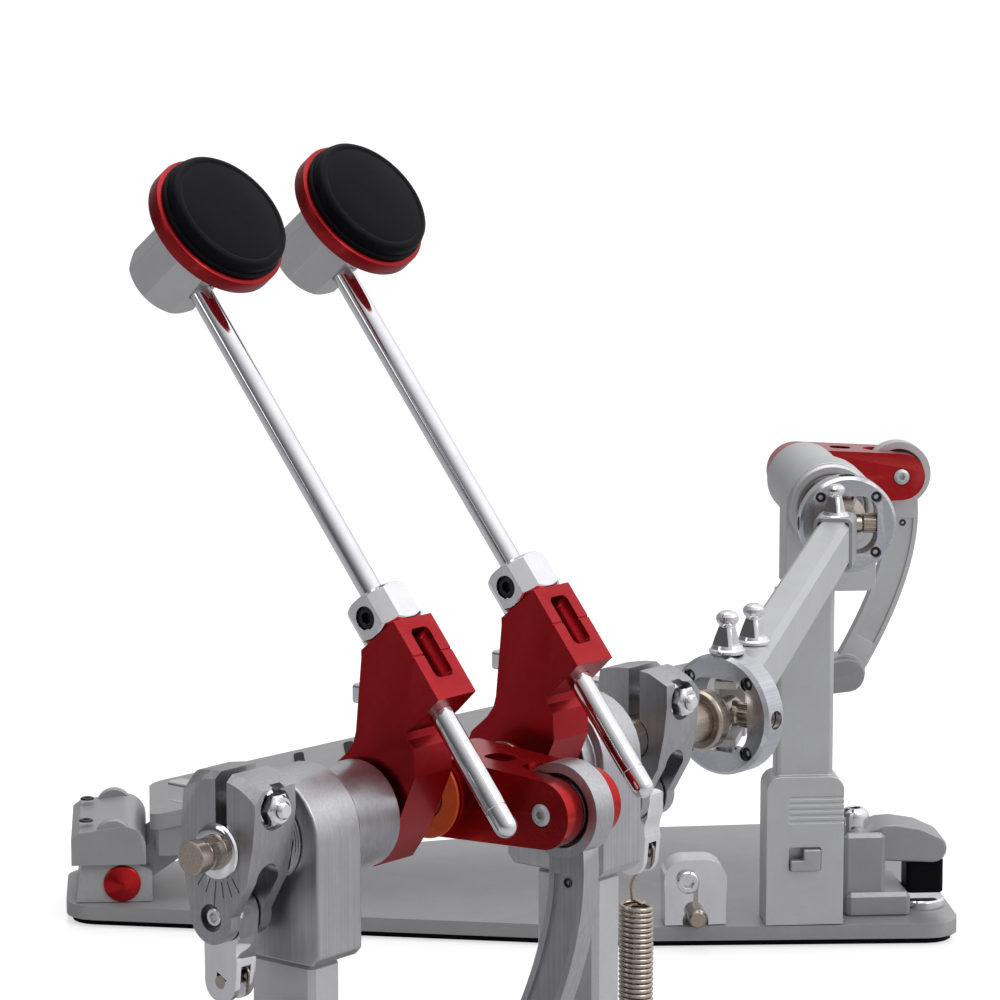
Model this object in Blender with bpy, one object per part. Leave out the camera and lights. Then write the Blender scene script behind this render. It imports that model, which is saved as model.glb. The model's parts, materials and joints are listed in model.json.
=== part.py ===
"""Direct drive double bass drum pedal.

Two pedals that stand side by side: the primary pedal carries two beaters on two
axles that share one centre line, and the slave pedal drives the left axle through
a telescopic shaft with a ring joint at each end.

Frame: the origin is on the floor, under the middle of the primary axle line.
+X points to the drummer's right, +Y to the drum and +Z up.  The slave pedal is
modelled in a frame of its own, with the same directions, and turned into place.
"""

import math

import bmesh
import bpy
from mathutils import Matrix, Vector

MM = 0.001

# Fits between pieces
GAP = 0.3 * MM
SWEEP_GAP = 1.2 * MM

# Overall layout
AXLE_HEIGHT = 217 * MM
BEATER_SPREAD = 37.2 * MM
SLAVE_YAW = math.radians(44)
SHAFT_YAW = math.radians(28.87)
SHAFT_LENGTH = 433 * MM
INNER_JOINT_X = -158.8 * MM
SLAVE_JOINT_REACH = 150 * MM

# Base plate, the same on both pedals
PLATE_HEEL_Y = -371 * MM
PLATE_TOE_Y = 67 * MM
PLATE_HEEL_WIDTH = 74 * MM
PLATE_TOE_WIDTH = 218 * MM
PLATE_WAIST_Y = -100 * MM
PLATE_WAIST_WIDTH = 204 * MM
PLATE_CORNER = 17 * MM
PLATE_THICKNESS = 7 * MM
PAD_THICKNESS = 3 * MM
PAD_INSET = 3 * MM

# Posts and bearing housings
POST_X = 84.6 * MM
LEFT_POST_X = 67 * MM
SLAVE_POST_X = 94 * MM
SLAVE_POST_OFFSET = -11 * MM
POST_OFFSET = 2 * MM
POST_DEPTH = 15 * MM
POST_WIDTH = 28 * MM
FOOT_DEPTH = 23 * MM
FOOT_WIDTH = 38 * MM
FOOT_HEIGHT = 74 * MM
HOUSING_DEPTH = 22 * MM
HOUSING_RADIUS = 22 * MM
HOUSING_DROP = 41 * MM
BOSS_RADIUS = 18.5 * MM
BOSS_INNER_X = 49.5 * MM

# Axles
AXLE_RADIUS = 8 * MM
AXLE_TIP_RADIUS = 5 * MM
AXLE_TIP_X = 133 * MM
AXLE_SHOULDER_X = 121 * MM
AXLE_SPLIT_X = -17.3 * MM
JOURNAL_RADIUS = 4 * MM
JOURNAL_LENGTH = 42 * MM

# Ring joints
RING_RADIUS = 22.9 * MM
RING_BORE = 15.5 * MM
RING_WIDTH = 11 * MM
JOINT_PIN_RADIUS = 3.2 * MM
JOINT_PIN_PLAY = 0.8 * MM
JOINT_PIN_REACH = 20 * MM
JOINT_NECK_RADIUS = 6 * MM
JOINT_NECK_LENGTH = 17 * MM
FORK_INNER = 9.5 * MM
FORK_OUTER = 12.5 * MM
FORK_HALF_WIDTH = 4 * MM
FORK_LENGTH = 17 * MM
FORK_TIP = 4 * MM

# Drive shaft
TUBE_WIDTH = 15 * MM
TUBE_HEIGHT = 21 * MM
TUBE_START = 19 * MM
TUBE_SHORTFALL = 35 * MM
ROD_WIDTH = 9 * MM
ROD_HEIGHT = 14 * MM
ROD_OVERLAP = 183 * MM
ROD_SPARE = 30 * MM
THUMB_BOLT_FROM_END = 16 * MM

# Drive arms and links
ARM_LENGTH = 50 * MM
ARM_HUB_RADIUS = 14.5 * MM
ARM_TIP_RADIUS = 11.8 * MM
ARM_WIDTH = 29 * MM
ARM_SLOT = 11.4 * MM
ARM_PIN_RADIUS = 4 * MM
LINK_WIDTH = 10 * MM
LINK_EYE_RADIUS = 14 * MM
LINK_FOOT_RADIUS = 10 * MM
LINK_BAR = 15 * MM
LINK_BAR_STEP = 0.8 * MM
LINK_END_Y = 24.5 * MM
LINK_DROP = 102 * MM
LINK_BOW_Y = 62 * MM
LINK_BOW_DROP = 38 * MM
TOE_PIN_RADIUS = 3 * MM
TOE_PIN_PLAY = 2.7 * MM

# Footboard and heel
HEEL_PIN_Y = -343 * MM
HEEL_PIN_HEIGHT = 20 * MM
HEEL_PIN_RADIUS = 4 * MM
HEEL_CAP_RADIUS = 9.3 * MM
HEEL_CAP_LENGTH = 4 * MM
HEEL_BLOCK_REAR_Y = -366 * MM
HEEL_BLOCK_FRONT_Y = -328 * MM
HEEL_BLOCK_WIDTH = 66 * MM
HEEL_BLOCK_TOP = 30 * MM
HEEL_CHEEK = 9 * MM
HEEL_PLATE_TOP = 50 * MM
HEEL_PLATE_WIDTH = 74 * MM
HEEL_BARREL_RADIUS = 8 * MM
HEEL_RELIEF = 2.5 * MM
BOARD_REAR_Y = -329 * MM
BOARD_FRONT_Y = 8 * MM
BOARD_REAR_TOP = 55 * MM
BOARD_FRONT_TOP = 124 * MM
BOARD_THICKNESS = 8 * MM
BOARD_REAR_WIDTH = 74 * MM
BOARD_FRONT_WIDTH = 88 * MM
TOE_LUG = 7 * MM

# Beaters and their hubs, measured along and across the beater rod
ROD_LEAN = math.radians(38.97)
ROD_OFFSET = 42.2 * MM
ROD_RADIUS = 4 * MM
ROD_BELOW = 36.7 * MM
HEAD_ALONG = 196.8 * MM
HEAD_BACK = 13 * MM
HEAD_BODY_FRONT = 17 * MM
HEAD_BODY_RADIUS = 14.5 * MM
HEAD_RING_RADIUS = 26 * MM
HEAD_RING_THICKNESS = 6 * MM
HEAD_PAD_RADIUS = 23.8 * MM
HEAD_PAD_THICKNESS = 7.5 * MM
HUB_THICKNESS = 19.5 * MM
HUB_FRONT = 9.9 * MM
HUB_BOSS_RADIUS = 19 * MM
HUB_FACE_LOW = 12.5 * MM
HUB_FACE_HIGH = 43.8 * MM
COLLAR_HEIGHT = 14 * MM
COLLAR_SIZE = 20 * MM

# Spring cams, swivels and springs
CAM_INNER_X = 100 * MM
CAM_THICKNESS = 19.5 * MM
CAM_HALF_WIDTH = 16.5 * MM
CAM_TOP = 25 * MM
CAM_PIN_Y = -3.5 * MM
CAM_PIN_DROP = 23 * MM
CAM_PIN_RADIUS = 2.5 * MM
CAM_PIN_PLAY = 2 * MM
CAM_END_RADIUS = 9 * MM
CAM_SLIT = 5 * MM
CAM_SLOT = 10.4 * MM
CAM_BOLT_RISE = 13.8 * MM
CAM_BOLT_RADIUS = 3 * MM
SWIVEL_WIDTH = 9.2 * MM
SWIVEL_EYE_RADIUS = 7.3 * MM
SWIVEL_LENGTH = 25 * MM
SPRING_RADIUS = 5.4 * MM
SPRING_WIRE = 0.9 * MM
SPRING_TURNS = 12
SPRING_LEAD = 6 * MM
ANCHOR_HEIGHT = 62 * MM
ANCHOR_LUG_TOP = 38 * MM
ANCHOR_ROD_RADIUS = 3 * MM

# Hoop clamps
JAW_WIDTH = 26 * MM
JAW_EAR = 4 * MM
JAW_PIN_RADIUS = 2.5 * MM
JAW_HINGE_Y = 20 * MM
JAW_HINGE_HEIGHT = 44 * MM
JAW_NOSE_Y = 57 * MM
SLAVE_JAW_X = 70 * MM
CLAMP_BLOCK_TOP = 36 * MM

# Small slave fittings
BUTTON_WIDTH = 15 * MM
BUTTON_HEIGHT = 11 * MM
BUTTON_LIFT = 38 * MM
BUTTON_STROKE = 3 * MM
BRACKET_X = 93 * MM
BRACKET_Y = -64 * MM

ROUND = 32
SMALL_ROUND = 20

FLOOR_TO_PLATE = PAD_THICKNESS + GAP
PLATE_TOP = FLOOR_TO_PLATE + PLATE_THICKNESS
TUBE_END = SHAFT_LENGTH - TUBE_SHORTFALL
ROD_START = TUBE_END - ROD_OVERLAP
TUBE_BORE_START = ROD_START - ROD_SPARE
CAM_MIDDLE_X = CAM_INNER_X + CAM_THICKNESS / 2
SPRING_Y = CAM_PIN_Y - 1.0 * MM

AXIS_X = Vector((1, 0, 0))
AXIS_Y = Vector((0, 1, 0))
AXIS_Z = Vector((0, 0, 1))

PRIMARY = Matrix.Identity(4)


def slave_frame():
    """Placement of the slave pedal's own frame, on the floor under its arm."""
    shaft = Vector((-math.cos(SHAFT_YAW), -math.sin(SHAFT_YAW), 0))
    across = Vector((math.cos(SLAVE_YAW), math.sin(SLAVE_YAW), 0))
    place = Vector((INNER_JOINT_X, 0, 0)) + SHAFT_LENGTH * shaft - SLAVE_JOINT_REACH * across
    return Matrix.Translation(place) @ Matrix.Rotation(SLAVE_YAW, 4, 'Z')


def shaft_frame():
    """Frame on the drive shaft: origin at the inner joint, +X along the shaft."""
    place = Matrix.Translation((INNER_JOINT_X, 0, AXLE_HEIGHT))
    return place @ Matrix.Rotation(math.pi + SHAFT_YAW, 4, 'Z')


# ---------------------------------------------------------------- scene helpers

def clear_scene():
    """Remove whatever the file holds."""
    for item in list(bpy.data.objects):
        bpy.data.objects.remove(item, do_unlink=True)


def finish_material(name, colour, roughness, metallic):
    """A Principled material of one plain finish."""
    material = bpy.data.materials.new(name)
    material.use_nodes = True
    shader = material.node_tree.nodes["Principled BSDF"]
    shader.inputs["Base Color"].default_value = (*colour, 1)
    shader.inputs["Roughness"].default_value = roughness
    shader.inputs["Metallic"].default_value = metallic
    return material


def add_pivot(name, frame, place, parent=None):
    """An empty on a joint's axis, which the moving pieces hang from."""
    pivot = bpy.data.objects.new(name, None)
    pivot.empty_display_size = 0.02
    bpy.context.collection.objects.link(pivot)
    pivot.matrix_world = frame @ Matrix.Translation(place)
    if parent is not None:
        pivot.parent = parent
        pivot.matrix_parent_inverse = parent.matrix_world.inverted()
    bpy.context.view_layer.update()
    return pivot


def place_piece(piece, frame, parent, material):
    """Give a finished piece its frame, its pivot and its material."""
    piece.matrix_world = frame
    if parent is not None:
        piece.parent = parent
        piece.matrix_parent_inverse = parent.matrix_world.inverted()
    piece.data.materials.clear()
    piece.data.materials.append(material)
    piece.data.shade_smooth()
    piece.data.set_sharp_from_angle(angle=math.radians(28))
    return piece


def mesh_object(name, shape):
    """Turn a bmesh into a linked object with its faces pointing out."""
    bmesh.ops.recalc_face_normals(shape, faces=shape.faces)
    mesh = bpy.data.meshes.new(name)
    shape.to_mesh(mesh)
    shape.free()
    piece = bpy.data.objects.new(name, mesh)
    bpy.context.collection.objects.link(piece)
    return piece


def combine(piece, other, operation):
    """Apply a Boolean of two objects to the first and remove the second."""
    step = piece.modifiers.new("combine", 'BOOLEAN')
    step.operation = operation
    step.object = other
    bpy.context.view_layer.update()
    graph = bpy.context.evaluated_depsgraph_get()
    result = bpy.data.meshes.new_from_object(piece.evaluated_get(graph))
    piece.modifiers.remove(step)
    piece.data = result
    bpy.data.objects.remove(other, do_unlink=True)
    return piece


def cut(piece, *cutters):
    """Cut each cutter out of a piece."""
    for cutter in cutters:
        combine(piece, cutter, 'DIFFERENCE')
    return piece


def unite(piece, *others):
    """Join other shapes to a piece, as one body."""
    for other in others:
        combine(piece, other, 'UNION')
    return piece


# ---------------------------------------------------------------- shape helpers

def arc(centre, radius, start, end, steps):
    """Points on an arc in the Y-Z plane, with the angles in degrees."""
    angles = [math.radians(start + (end - start) * i / steps) for i in range(steps + 1)]
    return [(centre[0] + radius * math.cos(a), centre[1] + radius * math.sin(a)) for a in angles]


def rounded_outline(corners, radius, steps=4):
    """A closed outline whose corners are rounded by one radius."""
    outline = []
    count = len(corners)
    for index, corner in enumerate(corners):
        here = Vector(corner)
        before = (Vector(corners[index - 1]) - here).normalized()
        after = (Vector(corners[(index + 1) % count]) - here).normalized()
        half = before.angle(after) / 2
        reach = radius / math.tan(half)
        centre = here + (before + after).normalized() * (radius / math.sin(half))
        first = here + before * reach - centre
        last = here + after * reach - centre
        turn = first.angle_signed(last)
        for step in range(steps + 1):
            spoke = first.copy()
            spoke.rotate(Matrix.Rotation(-turn * step / steps, 2))
            outline.append(tuple(centre + spoke))
    return outline


def strap_outline(first, first_radius, second, second_radius, steps=10):
    """Outline around two circles and the straight flanks between them."""
    start = Vector(first)
    run = Vector(second) - start
    heading = math.degrees(math.atan2(run.y, run.x))
    lean = math.degrees(math.acos((first_radius - second_radius) / run.length))
    back = arc(first, first_radius, heading + lean, heading + 360 - lean, steps)
    front = arc(second, second_radius, heading - lean, heading + lean, steps)
    return back + front


def slab(name, outline, low, high):
    """Extrude a Y-Z outline along X between two positions."""
    shape = bmesh.new()
    ring = [shape.verts.new((low, y, z)) for y, z in outline]
    face = shape.faces.new(ring)
    grown = bmesh.ops.extrude_face_region(shape, geom=[face])
    moved = [item for item in grown["geom"] if isinstance(item, bmesh.types.BMVert)]
    bmesh.ops.translate(shape, verts=moved, vec=(high - low, 0, 0))
    return mesh_object(name, shape)


def flat_slab(name, outline, low, high):
    """Extrude an X-Y outline along Z between two heights."""
    shape = bmesh.new()
    ring = [shape.verts.new((x, y, low)) for x, y in outline]
    face = shape.faces.new(ring)
    grown = bmesh.ops.extrude_face_region(shape, geom=[face])
    moved = [item for item in grown["geom"] if isinstance(item, bmesh.types.BMVert)]
    bmesh.ops.translate(shape, verts=moved, vec=(0, 0, high - low))
    return mesh_object(name, shape)


def block(name, low, high, bevel=0.0):
    """A box between two corners, with its edges bevelled."""
    shape = bmesh.new()
    middle = (Vector(low) + Vector(high)) / 2
    size = Vector(high) - Vector(low)
    place = Matrix.Translation(middle) @ Matrix.Diagonal((*size, 1))
    bmesh.ops.create_cube(shape, size=1, matrix=place)
    if bevel:
        bmesh.ops.bevel(shape, geom=shape.edges[:], offset=bevel, segments=1, affect='EDGES')
    return mesh_object(name, shape)


def turned(name, profile, place, axis, segments=ROUND):
    """Turn a profile of (distance along, radius) pairs about an axis."""
    shape = bmesh.new()
    spin = axis.to_track_quat('Z', 'Y').to_matrix().to_4x4()
    rings = []
    for along, radius in profile:
        if radius <= 0:
            rings.append([shape.verts.new((0, 0, along))])
            continue
        angles = [2 * math.pi * i / segments for i in range(segments)]
        points = [(radius * math.cos(a), radius * math.sin(a), along) for a in angles]
        rings.append([shape.verts.new(point) for point in points])
    if len(rings[0]) > 1 and len(rings[-1]) > 1:
        rings.append(rings[0])
    for ring, following in zip(rings, rings[1:]):
        bridge(shape, ring, following, segments)
    bmesh.ops.transform(shape, matrix=Matrix.Translation(place) @ spin, verts=shape.verts)
    return mesh_object(name, shape)


def bridge(shape, ring, following, segments):
    """Join two rings of a turned shape, either of which may be a point."""
    for i in range(segments):
        j = (i + 1) % segments
        corners = [ring[i % len(ring)], ring[j % len(ring)]]
        corners += [following[j % len(following)], following[i % len(following)]]
        shape.faces.new(dict.fromkeys(corners))


def rod(name, start, end, radius, segments=SMALL_ROUND):
    """A plain round bar between two points."""
    start = Vector(start)
    run = Vector(end) - start
    profile = [(0, 0), (0, radius), (run.length, radius), (run.length, 0)]
    return turned(name, profile, start, run.normalized(), segments)


def tube_along(name, points, radius, sides):
    """A closed round wire that follows a list of points."""
    shape = bmesh.new()
    rings = []
    side = AXIS_X.copy()
    for index, point in enumerate(points):
        ahead = points[min(index + 1, len(points) - 1)] - points[max(index - 1, 0)]
        ahead.normalize()
        side = (side - ahead * side.dot(ahead)).normalized()
        up = ahead.cross(side)
        angles = [2 * math.pi * i / sides for i in range(sides)]
        spots = [point + radius * (math.cos(a) * side + math.sin(a) * up) for a in angles]
        rings.append([shape.verts.new(spot) for spot in spots])
    for ring, following in zip(rings, rings[1:]):
        bridge(shape, ring, following, sides)
    shape.faces.new(rings[0])
    shape.faces.new(rings[-1])
    return mesh_object(name, shape)


def mirror_x(piece, side):
    """Mirror a piece to the left side when the side is -1."""
    if side < 0:
        shape = bmesh.new()
        shape.from_mesh(piece.data)
        bmesh.ops.scale(shape, vec=(-1, 1, 1), verts=shape.verts)
        bmesh.ops.recalc_face_normals(shape, faces=shape.faces)
        shape.to_mesh(piece.data)
        shape.free()
    return piece


def rod_point(along, across, x=0.0):
    """A point given along and across the beater rod, in the pedal's frame."""
    lean_y = math.sin(ROD_LEAN)
    lean_z = math.cos(ROD_LEAN)
    reach = ROD_OFFSET + across
    return Vector((x, reach * lean_z - along * lean_y, AXLE_HEIGHT + reach * lean_y + along * lean_z))


ROD_AXIS = Vector((0, -math.sin(ROD_LEAN), math.cos(ROD_LEAN)))
HEAD_AXIS = Vector((0, math.cos(ROD_LEAN), math.sin(ROD_LEAN)))


# ---------------------------------------------------------------- the stand

def plate_outline(inset):
    """Outline of the base plate, wide at the toe and narrow at the heel."""
    heel = PLATE_HEEL_WIDTH / 2 - inset
    waist = PLATE_WAIST_WIDTH / 2 - inset
    toe = PLATE_TOE_WIDTH / 2 - inset
    rear = PLATE_HEEL_Y + inset
    front = PLATE_TOE_Y - inset
    corners = [(-heel, rear), (heel, rear), (waist, PLATE_WAIST_Y), (toe, front)]
    corners += [(-toe, front), (-waist, PLATE_WAIST_Y)]
    return rounded_outline(corners, PLATE_CORNER - inset)


def floor_pad(name, frame, parent, finish):
    """Rubber sheet under the base plate."""
    piece = flat_slab(name, plate_outline(PAD_INSET), 0, PAD_THICKNESS)
    return place_piece(piece, frame, parent, finish)


def base_plate(name, frame, parent, finish, jaw_x):
    """Base plate with the raised block that carries the hoop clamp."""
    piece = flat_slab(name, plate_outline(0), FLOOR_TO_PLATE, PLATE_TOP)
    half = JAW_WIDTH / 2
    sunk = PLATE_TOP - 1 * MM
    rear = JAW_HINGE_Y - 8.5 * MM
    front = JAW_HINGE_Y + 12 * MM
    ear = half + JAW_EAR
    ear_top = JAW_HINGE_HEIGHT + 7 * MM
    rise = block("rise", (jaw_x - ear, rear, sunk), (jaw_x + ear, front, ear_top), 2 * MM)
    cut(rise, block("mouth", (jaw_x - half, rear - 9 * MM, CLAMP_BLOCK_TOP),
                    (jaw_x + half, front + 9 * MM, ear_top + 9 * MM)))
    pin_start = (jaw_x - half - MM, JAW_HINGE_Y, JAW_HINGE_HEIGHT)
    pin_end = (jaw_x + half + MM, JAW_HINGE_Y, JAW_HINGE_HEIGHT)
    step_low = (jaw_x - half - 12 * MM, rear + 1 * MM, sunk)
    step_high = (jaw_x + half + 8 * MM, front + 12 * MM, CLAMP_BLOCK_TOP - 14 * MM)
    step = block("step", step_low, step_high, 2 * MM)
    unite(piece, step, rise, rod("jaw pin", pin_start, pin_end, JAW_PIN_RADIUS))
    return place_piece(piece, frame, parent, finish)


def post(name, frame, parent, finish, side, centre_x, offset, with_lug):
    """Post of rectangular tube with a wider foot and the spring's anchor lug."""
    foot_bottom = PLATE_TOP + GAP
    shoulder = foot_bottom + FOOT_HEIGHT
    top = AXLE_HEIGHT - HOUSING_DROP - GAP
    half_foot = FOOT_WIDTH / 2
    half_post = POST_WIDTH / 2
    outline = [(offset - half_foot, foot_bottom), (offset + half_foot, foot_bottom)]
    outline += arc((offset + half_foot - 8 * MM, shoulder - 8 * MM), 8 * MM, 0, 90, 4)
    outline += arc((offset - half_foot + 8 * MM, shoulder - 8 * MM), 8 * MM, 90, 180, 4)
    piece = slab(name, outline, centre_x - FOOT_DEPTH / 2, centre_x + FOOT_DEPTH / 2)
    low = (centre_x - POST_DEPTH / 2, offset - half_post, shoulder - 2 * MM)
    high = (centre_x + POST_DEPTH / 2, offset + half_post, top)
    unite(piece, block("column", low, high, 2 * MM))
    if with_lug:
        lug_end = CAM_MIDDLE_X + 9 * MM
        lug = block("lug", (centre_x, SPRING_Y - 9 * MM, ANCHOR_LUG_TOP - 9 * MM),
                    (lug_end, SPRING_Y + 9 * MM, ANCHOR_LUG_TOP), 1.5 * MM)
        unite(piece, lug)
        hole_start = (CAM_MIDDLE_X, SPRING_Y, ANCHOR_LUG_TOP - 20 * MM)
        hole_end = (CAM_MIDDLE_X, SPRING_Y, ANCHOR_LUG_TOP + 10 * MM)
        cut(piece, rod("hole", hole_start, hole_end, ANCHOR_ROD_RADIUS + GAP))
    else:
        cut(piece, button_shape("recess", centre_x, offset, GAP, BUTTON_STROKE + 2 * MM))
    mirror_x(piece, side)
    return place_piece(piece, frame, parent, finish)


def housing(name, frame, parent, finish, side, centre_x, boss_x):
    """Bearing housing: an arched block with a round boss toward the middle."""
    half = HOUSING_RADIUS
    bottom = AXLE_HEIGHT - HOUSING_DROP
    outline = [(-half + 3 * MM, bottom), (half - 3 * MM, bottom), (half, bottom + 3 * MM)]
    outline += arc((0, AXLE_HEIGHT), half, 0, 180, 14)
    outline += [(-half, bottom + 3 * MM)]
    piece = slab(name, outline, centre_x - HOUSING_DEPTH / 2, centre_x + HOUSING_DEPTH / 2)
    boss = rod("boss", (boss_x, 0, AXLE_HEIGHT), (centre_x, 0, AXLE_HEIGHT), BOSS_RADIUS, ROUND)
    unite(piece, boss)
    far = centre_x + HOUSING_DEPTH
    bore = rod("bore", (boss_x - 9 * MM, 0, AXLE_HEIGHT), (far, 0, AXLE_HEIGHT),
               AXLE_RADIUS + GAP, ROUND)
    cut(piece, bore)
    mirror_x(piece, side)
    return place_piece(piece, frame, parent, finish)


def heel_block(name, frame, parent, finish):
    """Heel block: two cheeks and a rear wall that hold the hinge pin."""
    rear = HEEL_BLOCK_REAR_Y
    front = HEEL_BLOCK_FRONT_Y
    low = PLATE_TOP + GAP
    half = HEEL_BLOCK_WIDTH / 2
    corners = [(rear, low), (front, low), (front, HEEL_BLOCK_TOP - 4 * MM)]
    corners += [(front - 8 * MM, HEEL_BLOCK_TOP), (rear + 3 * MM, HEEL_BLOCK_TOP)]
    piece = slab(name, corners, -half, half)
    inner = half - HEEL_CHEEK
    mouth = block("mouth", (-inner, HEEL_PIN_Y - HEEL_BARREL_RADIUS - 2 * MM, low - 9 * MM),
                  (inner, front + 9 * MM, HEEL_BLOCK_TOP + 9 * MM))
    bore = rod("bore", (-half - MM, HEEL_PIN_Y, HEEL_PIN_HEIGHT),
               (half + MM, HEEL_PIN_Y, HEEL_PIN_HEIGHT), HEEL_PIN_RADIUS + GAP)
    cut(piece, mouth, bore)
    return place_piece(piece, frame, parent, finish)


def heel_plate(name, frame, parent, finish):
    """Heel plate on the heel block, with an arched front knuckle."""
    low = HEEL_BLOCK_TOP + GAP
    rear = PLATE_HEEL_Y + 3 * MM
    knuckle = 11 * MM
    centre = (HEEL_BLOCK_FRONT_Y - knuckle - 3 * MM, HEEL_PLATE_TOP - knuckle)
    outline = [(rear, low), (centre[0] + knuckle, low)]
    outline += arc(centre, knuckle, 0, 90, 6)
    outline += [(rear + 4 * MM, HEEL_PLATE_TOP - 3 * MM), (rear, HEEL_PLATE_TOP - 6 * MM)]
    half = HEEL_PLATE_WIDTH / 2
    piece = slab(name, outline, -half, half)
    inner = HEEL_BLOCK_WIDTH / 2 - HEEL_CHEEK
    cut(piece, slab("relief", knuckle_outline(HEEL_RELIEF), -inner, inner))
    return place_piece(piece, frame, parent, finish)


def heel_pin(name, frame, parent, finish):
    """Hinge pin with a conical cap at each end."""
    half = HEEL_BLOCK_WIDTH / 2 + GAP
    shank = HEEL_PIN_RADIUS
    cap = HEEL_CAP_RADIUS
    tip = half + HEEL_CAP_LENGTH
    profile = [(-tip, 0), (-half - 1 * MM, cap), (-half, cap), (-half, shank)]
    profile += [(half, shank), (half, cap), (half + 1 * MM, cap), (tip, 0)]
    piece = turned(name, profile, (0, HEEL_PIN_Y, HEEL_PIN_HEIGHT), AXIS_X, SMALL_ROUND)
    return place_piece(piece, frame, parent, finish)


def hoop_jaw(name, frame, parent, finish, jaw_x):
    """Upper jaw that presses the drum's hoop down on the plate."""
    half = JAW_WIDTH / 2 - 1 * MM
    low = CLAMP_BLOCK_TOP + GAP
    outline = [(JAW_NOSE_Y, low)]
    outline += arc((JAW_NOSE_Y, low + 5 * MM), 7 * MM, -45, 60, 4)
    outline += [(JAW_NOSE_Y - 22 * MM, low + 18 * MM), (JAW_HINGE_Y + 12 * MM, low + 15 * MM)]
    outline += arc((JAW_HINGE_Y, JAW_HINGE_HEIGHT), JAW_HINGE_HEIGHT - low, 80, 270, 10)
    piece = slab(name, outline, jaw_x - half, jaw_x + half)
    cut(piece, rod("bore", (jaw_x - 2 * half, JAW_HINGE_Y, JAW_HINGE_HEIGHT),
                   (jaw_x + 2 * half, JAW_HINGE_Y, JAW_HINGE_HEIGHT), JAW_PIN_RADIUS + GAP))
    return place_piece(piece, frame, parent, finish)


# ---------------------------------------------------------------- footboard and link

def board_top(y):
    """Height of the footboard's upper face at a place along it."""
    share = (y - BOARD_REAR_Y) / (BOARD_FRONT_Y - BOARD_REAR_Y)
    return BOARD_REAR_TOP + share * (BOARD_FRONT_TOP - BOARD_REAR_TOP)


def footboard(name, frame, parent, finish):
    """Footboard with its hinge barrel at the heel and a forked toe."""
    rear = BOARD_REAR_Y
    front = BOARD_FRONT_Y
    rear_half = BOARD_REAR_WIDTH / 2
    front_half = BOARD_FRONT_WIDTH / 2
    corners = [(-rear_half, rear), (rear_half, rear), (front_half, front), (-front_half, front)]
    piece = flat_slab(name, rounded_outline(corners, 8 * MM), -BOARD_THICKNESS, 0)
    for corner in piece.data.vertices:
        corner.co.z += board_top(corner.co.y)
    unite(piece, *heel_barrel(), *toe_fork())
    bore = rod("bore", (-rear_half, HEEL_PIN_Y, HEEL_PIN_HEIGHT),
               (rear_half, HEEL_PIN_Y, HEEL_PIN_HEIGHT), HEEL_PIN_RADIUS + GAP)
    cut(piece, bore)
    return place_piece(piece, frame, parent, finish)


def knuckle_outline(extra):
    """Outline of the barrel and its web up to the board's rear block."""
    root = (BOARD_REAR_Y + 12 * MM, HEEL_PIN_HEIGHT + 17 * MM)
    return strap_outline((HEEL_PIN_Y, HEEL_PIN_HEIGHT), HEEL_BARREL_RADIUS + extra,
                         root, 7 * MM + extra)


def heel_barrel():
    """Barrel around the hinge pin, and the thick rear end of the board."""
    half = HEEL_BLOCK_WIDTH / 2 - HEEL_CHEEK - 0.6 * MM
    barrel = slab("barrel", knuckle_outline(0), -half, half)
    rear = BOARD_REAR_Y + 3 * MM
    wide = BOARD_REAR_WIDTH / 2 - 1 * MM
    low = (-wide, rear, HEEL_PIN_HEIGHT + 13 * MM)
    high = (wide, rear + 17 * MM, board_top(rear) - 3 * MM)
    return barrel, block("rear block", low, high, 1.5 * MM)


def toe_fork():
    """Two lugs at the toe and the pin across them, with room for the link."""
    end = (LINK_END_Y, AXLE_HEIGHT - LINK_DROP)
    root_y = BOARD_FRONT_Y - 26 * MM
    root = (root_y, board_top(root_y) - 9 * MM)
    outline = strap_outline(root, 7 * MM, end, TOE_PIN_RADIUS + 5 * MM, 8)
    inner = LINK_WIDTH / 2 + SWEEP_GAP
    outer = inner + TOE_LUG
    right = slab("right lug", outline, inner, outer)
    left = slab("left lug", outline, -outer, -inner)
    pin = rod("toe pin", (-outer + MM, *end), (outer - MM, *end), TOE_PIN_RADIUS)
    return right, left, pin


def bow_point(share):
    """A point on the link's bowed centre line, from its eye to its foot."""
    start = Vector((ARM_LENGTH, AXLE_HEIGHT))
    bow = Vector((LINK_BOW_Y, AXLE_HEIGHT - LINK_BOW_DROP))
    end = Vector((LINK_END_Y, AXLE_HEIGHT - LINK_DROP))
    rest = 1 - share
    return rest * rest * start + 2 * rest * share * bow + share * share * end


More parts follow.
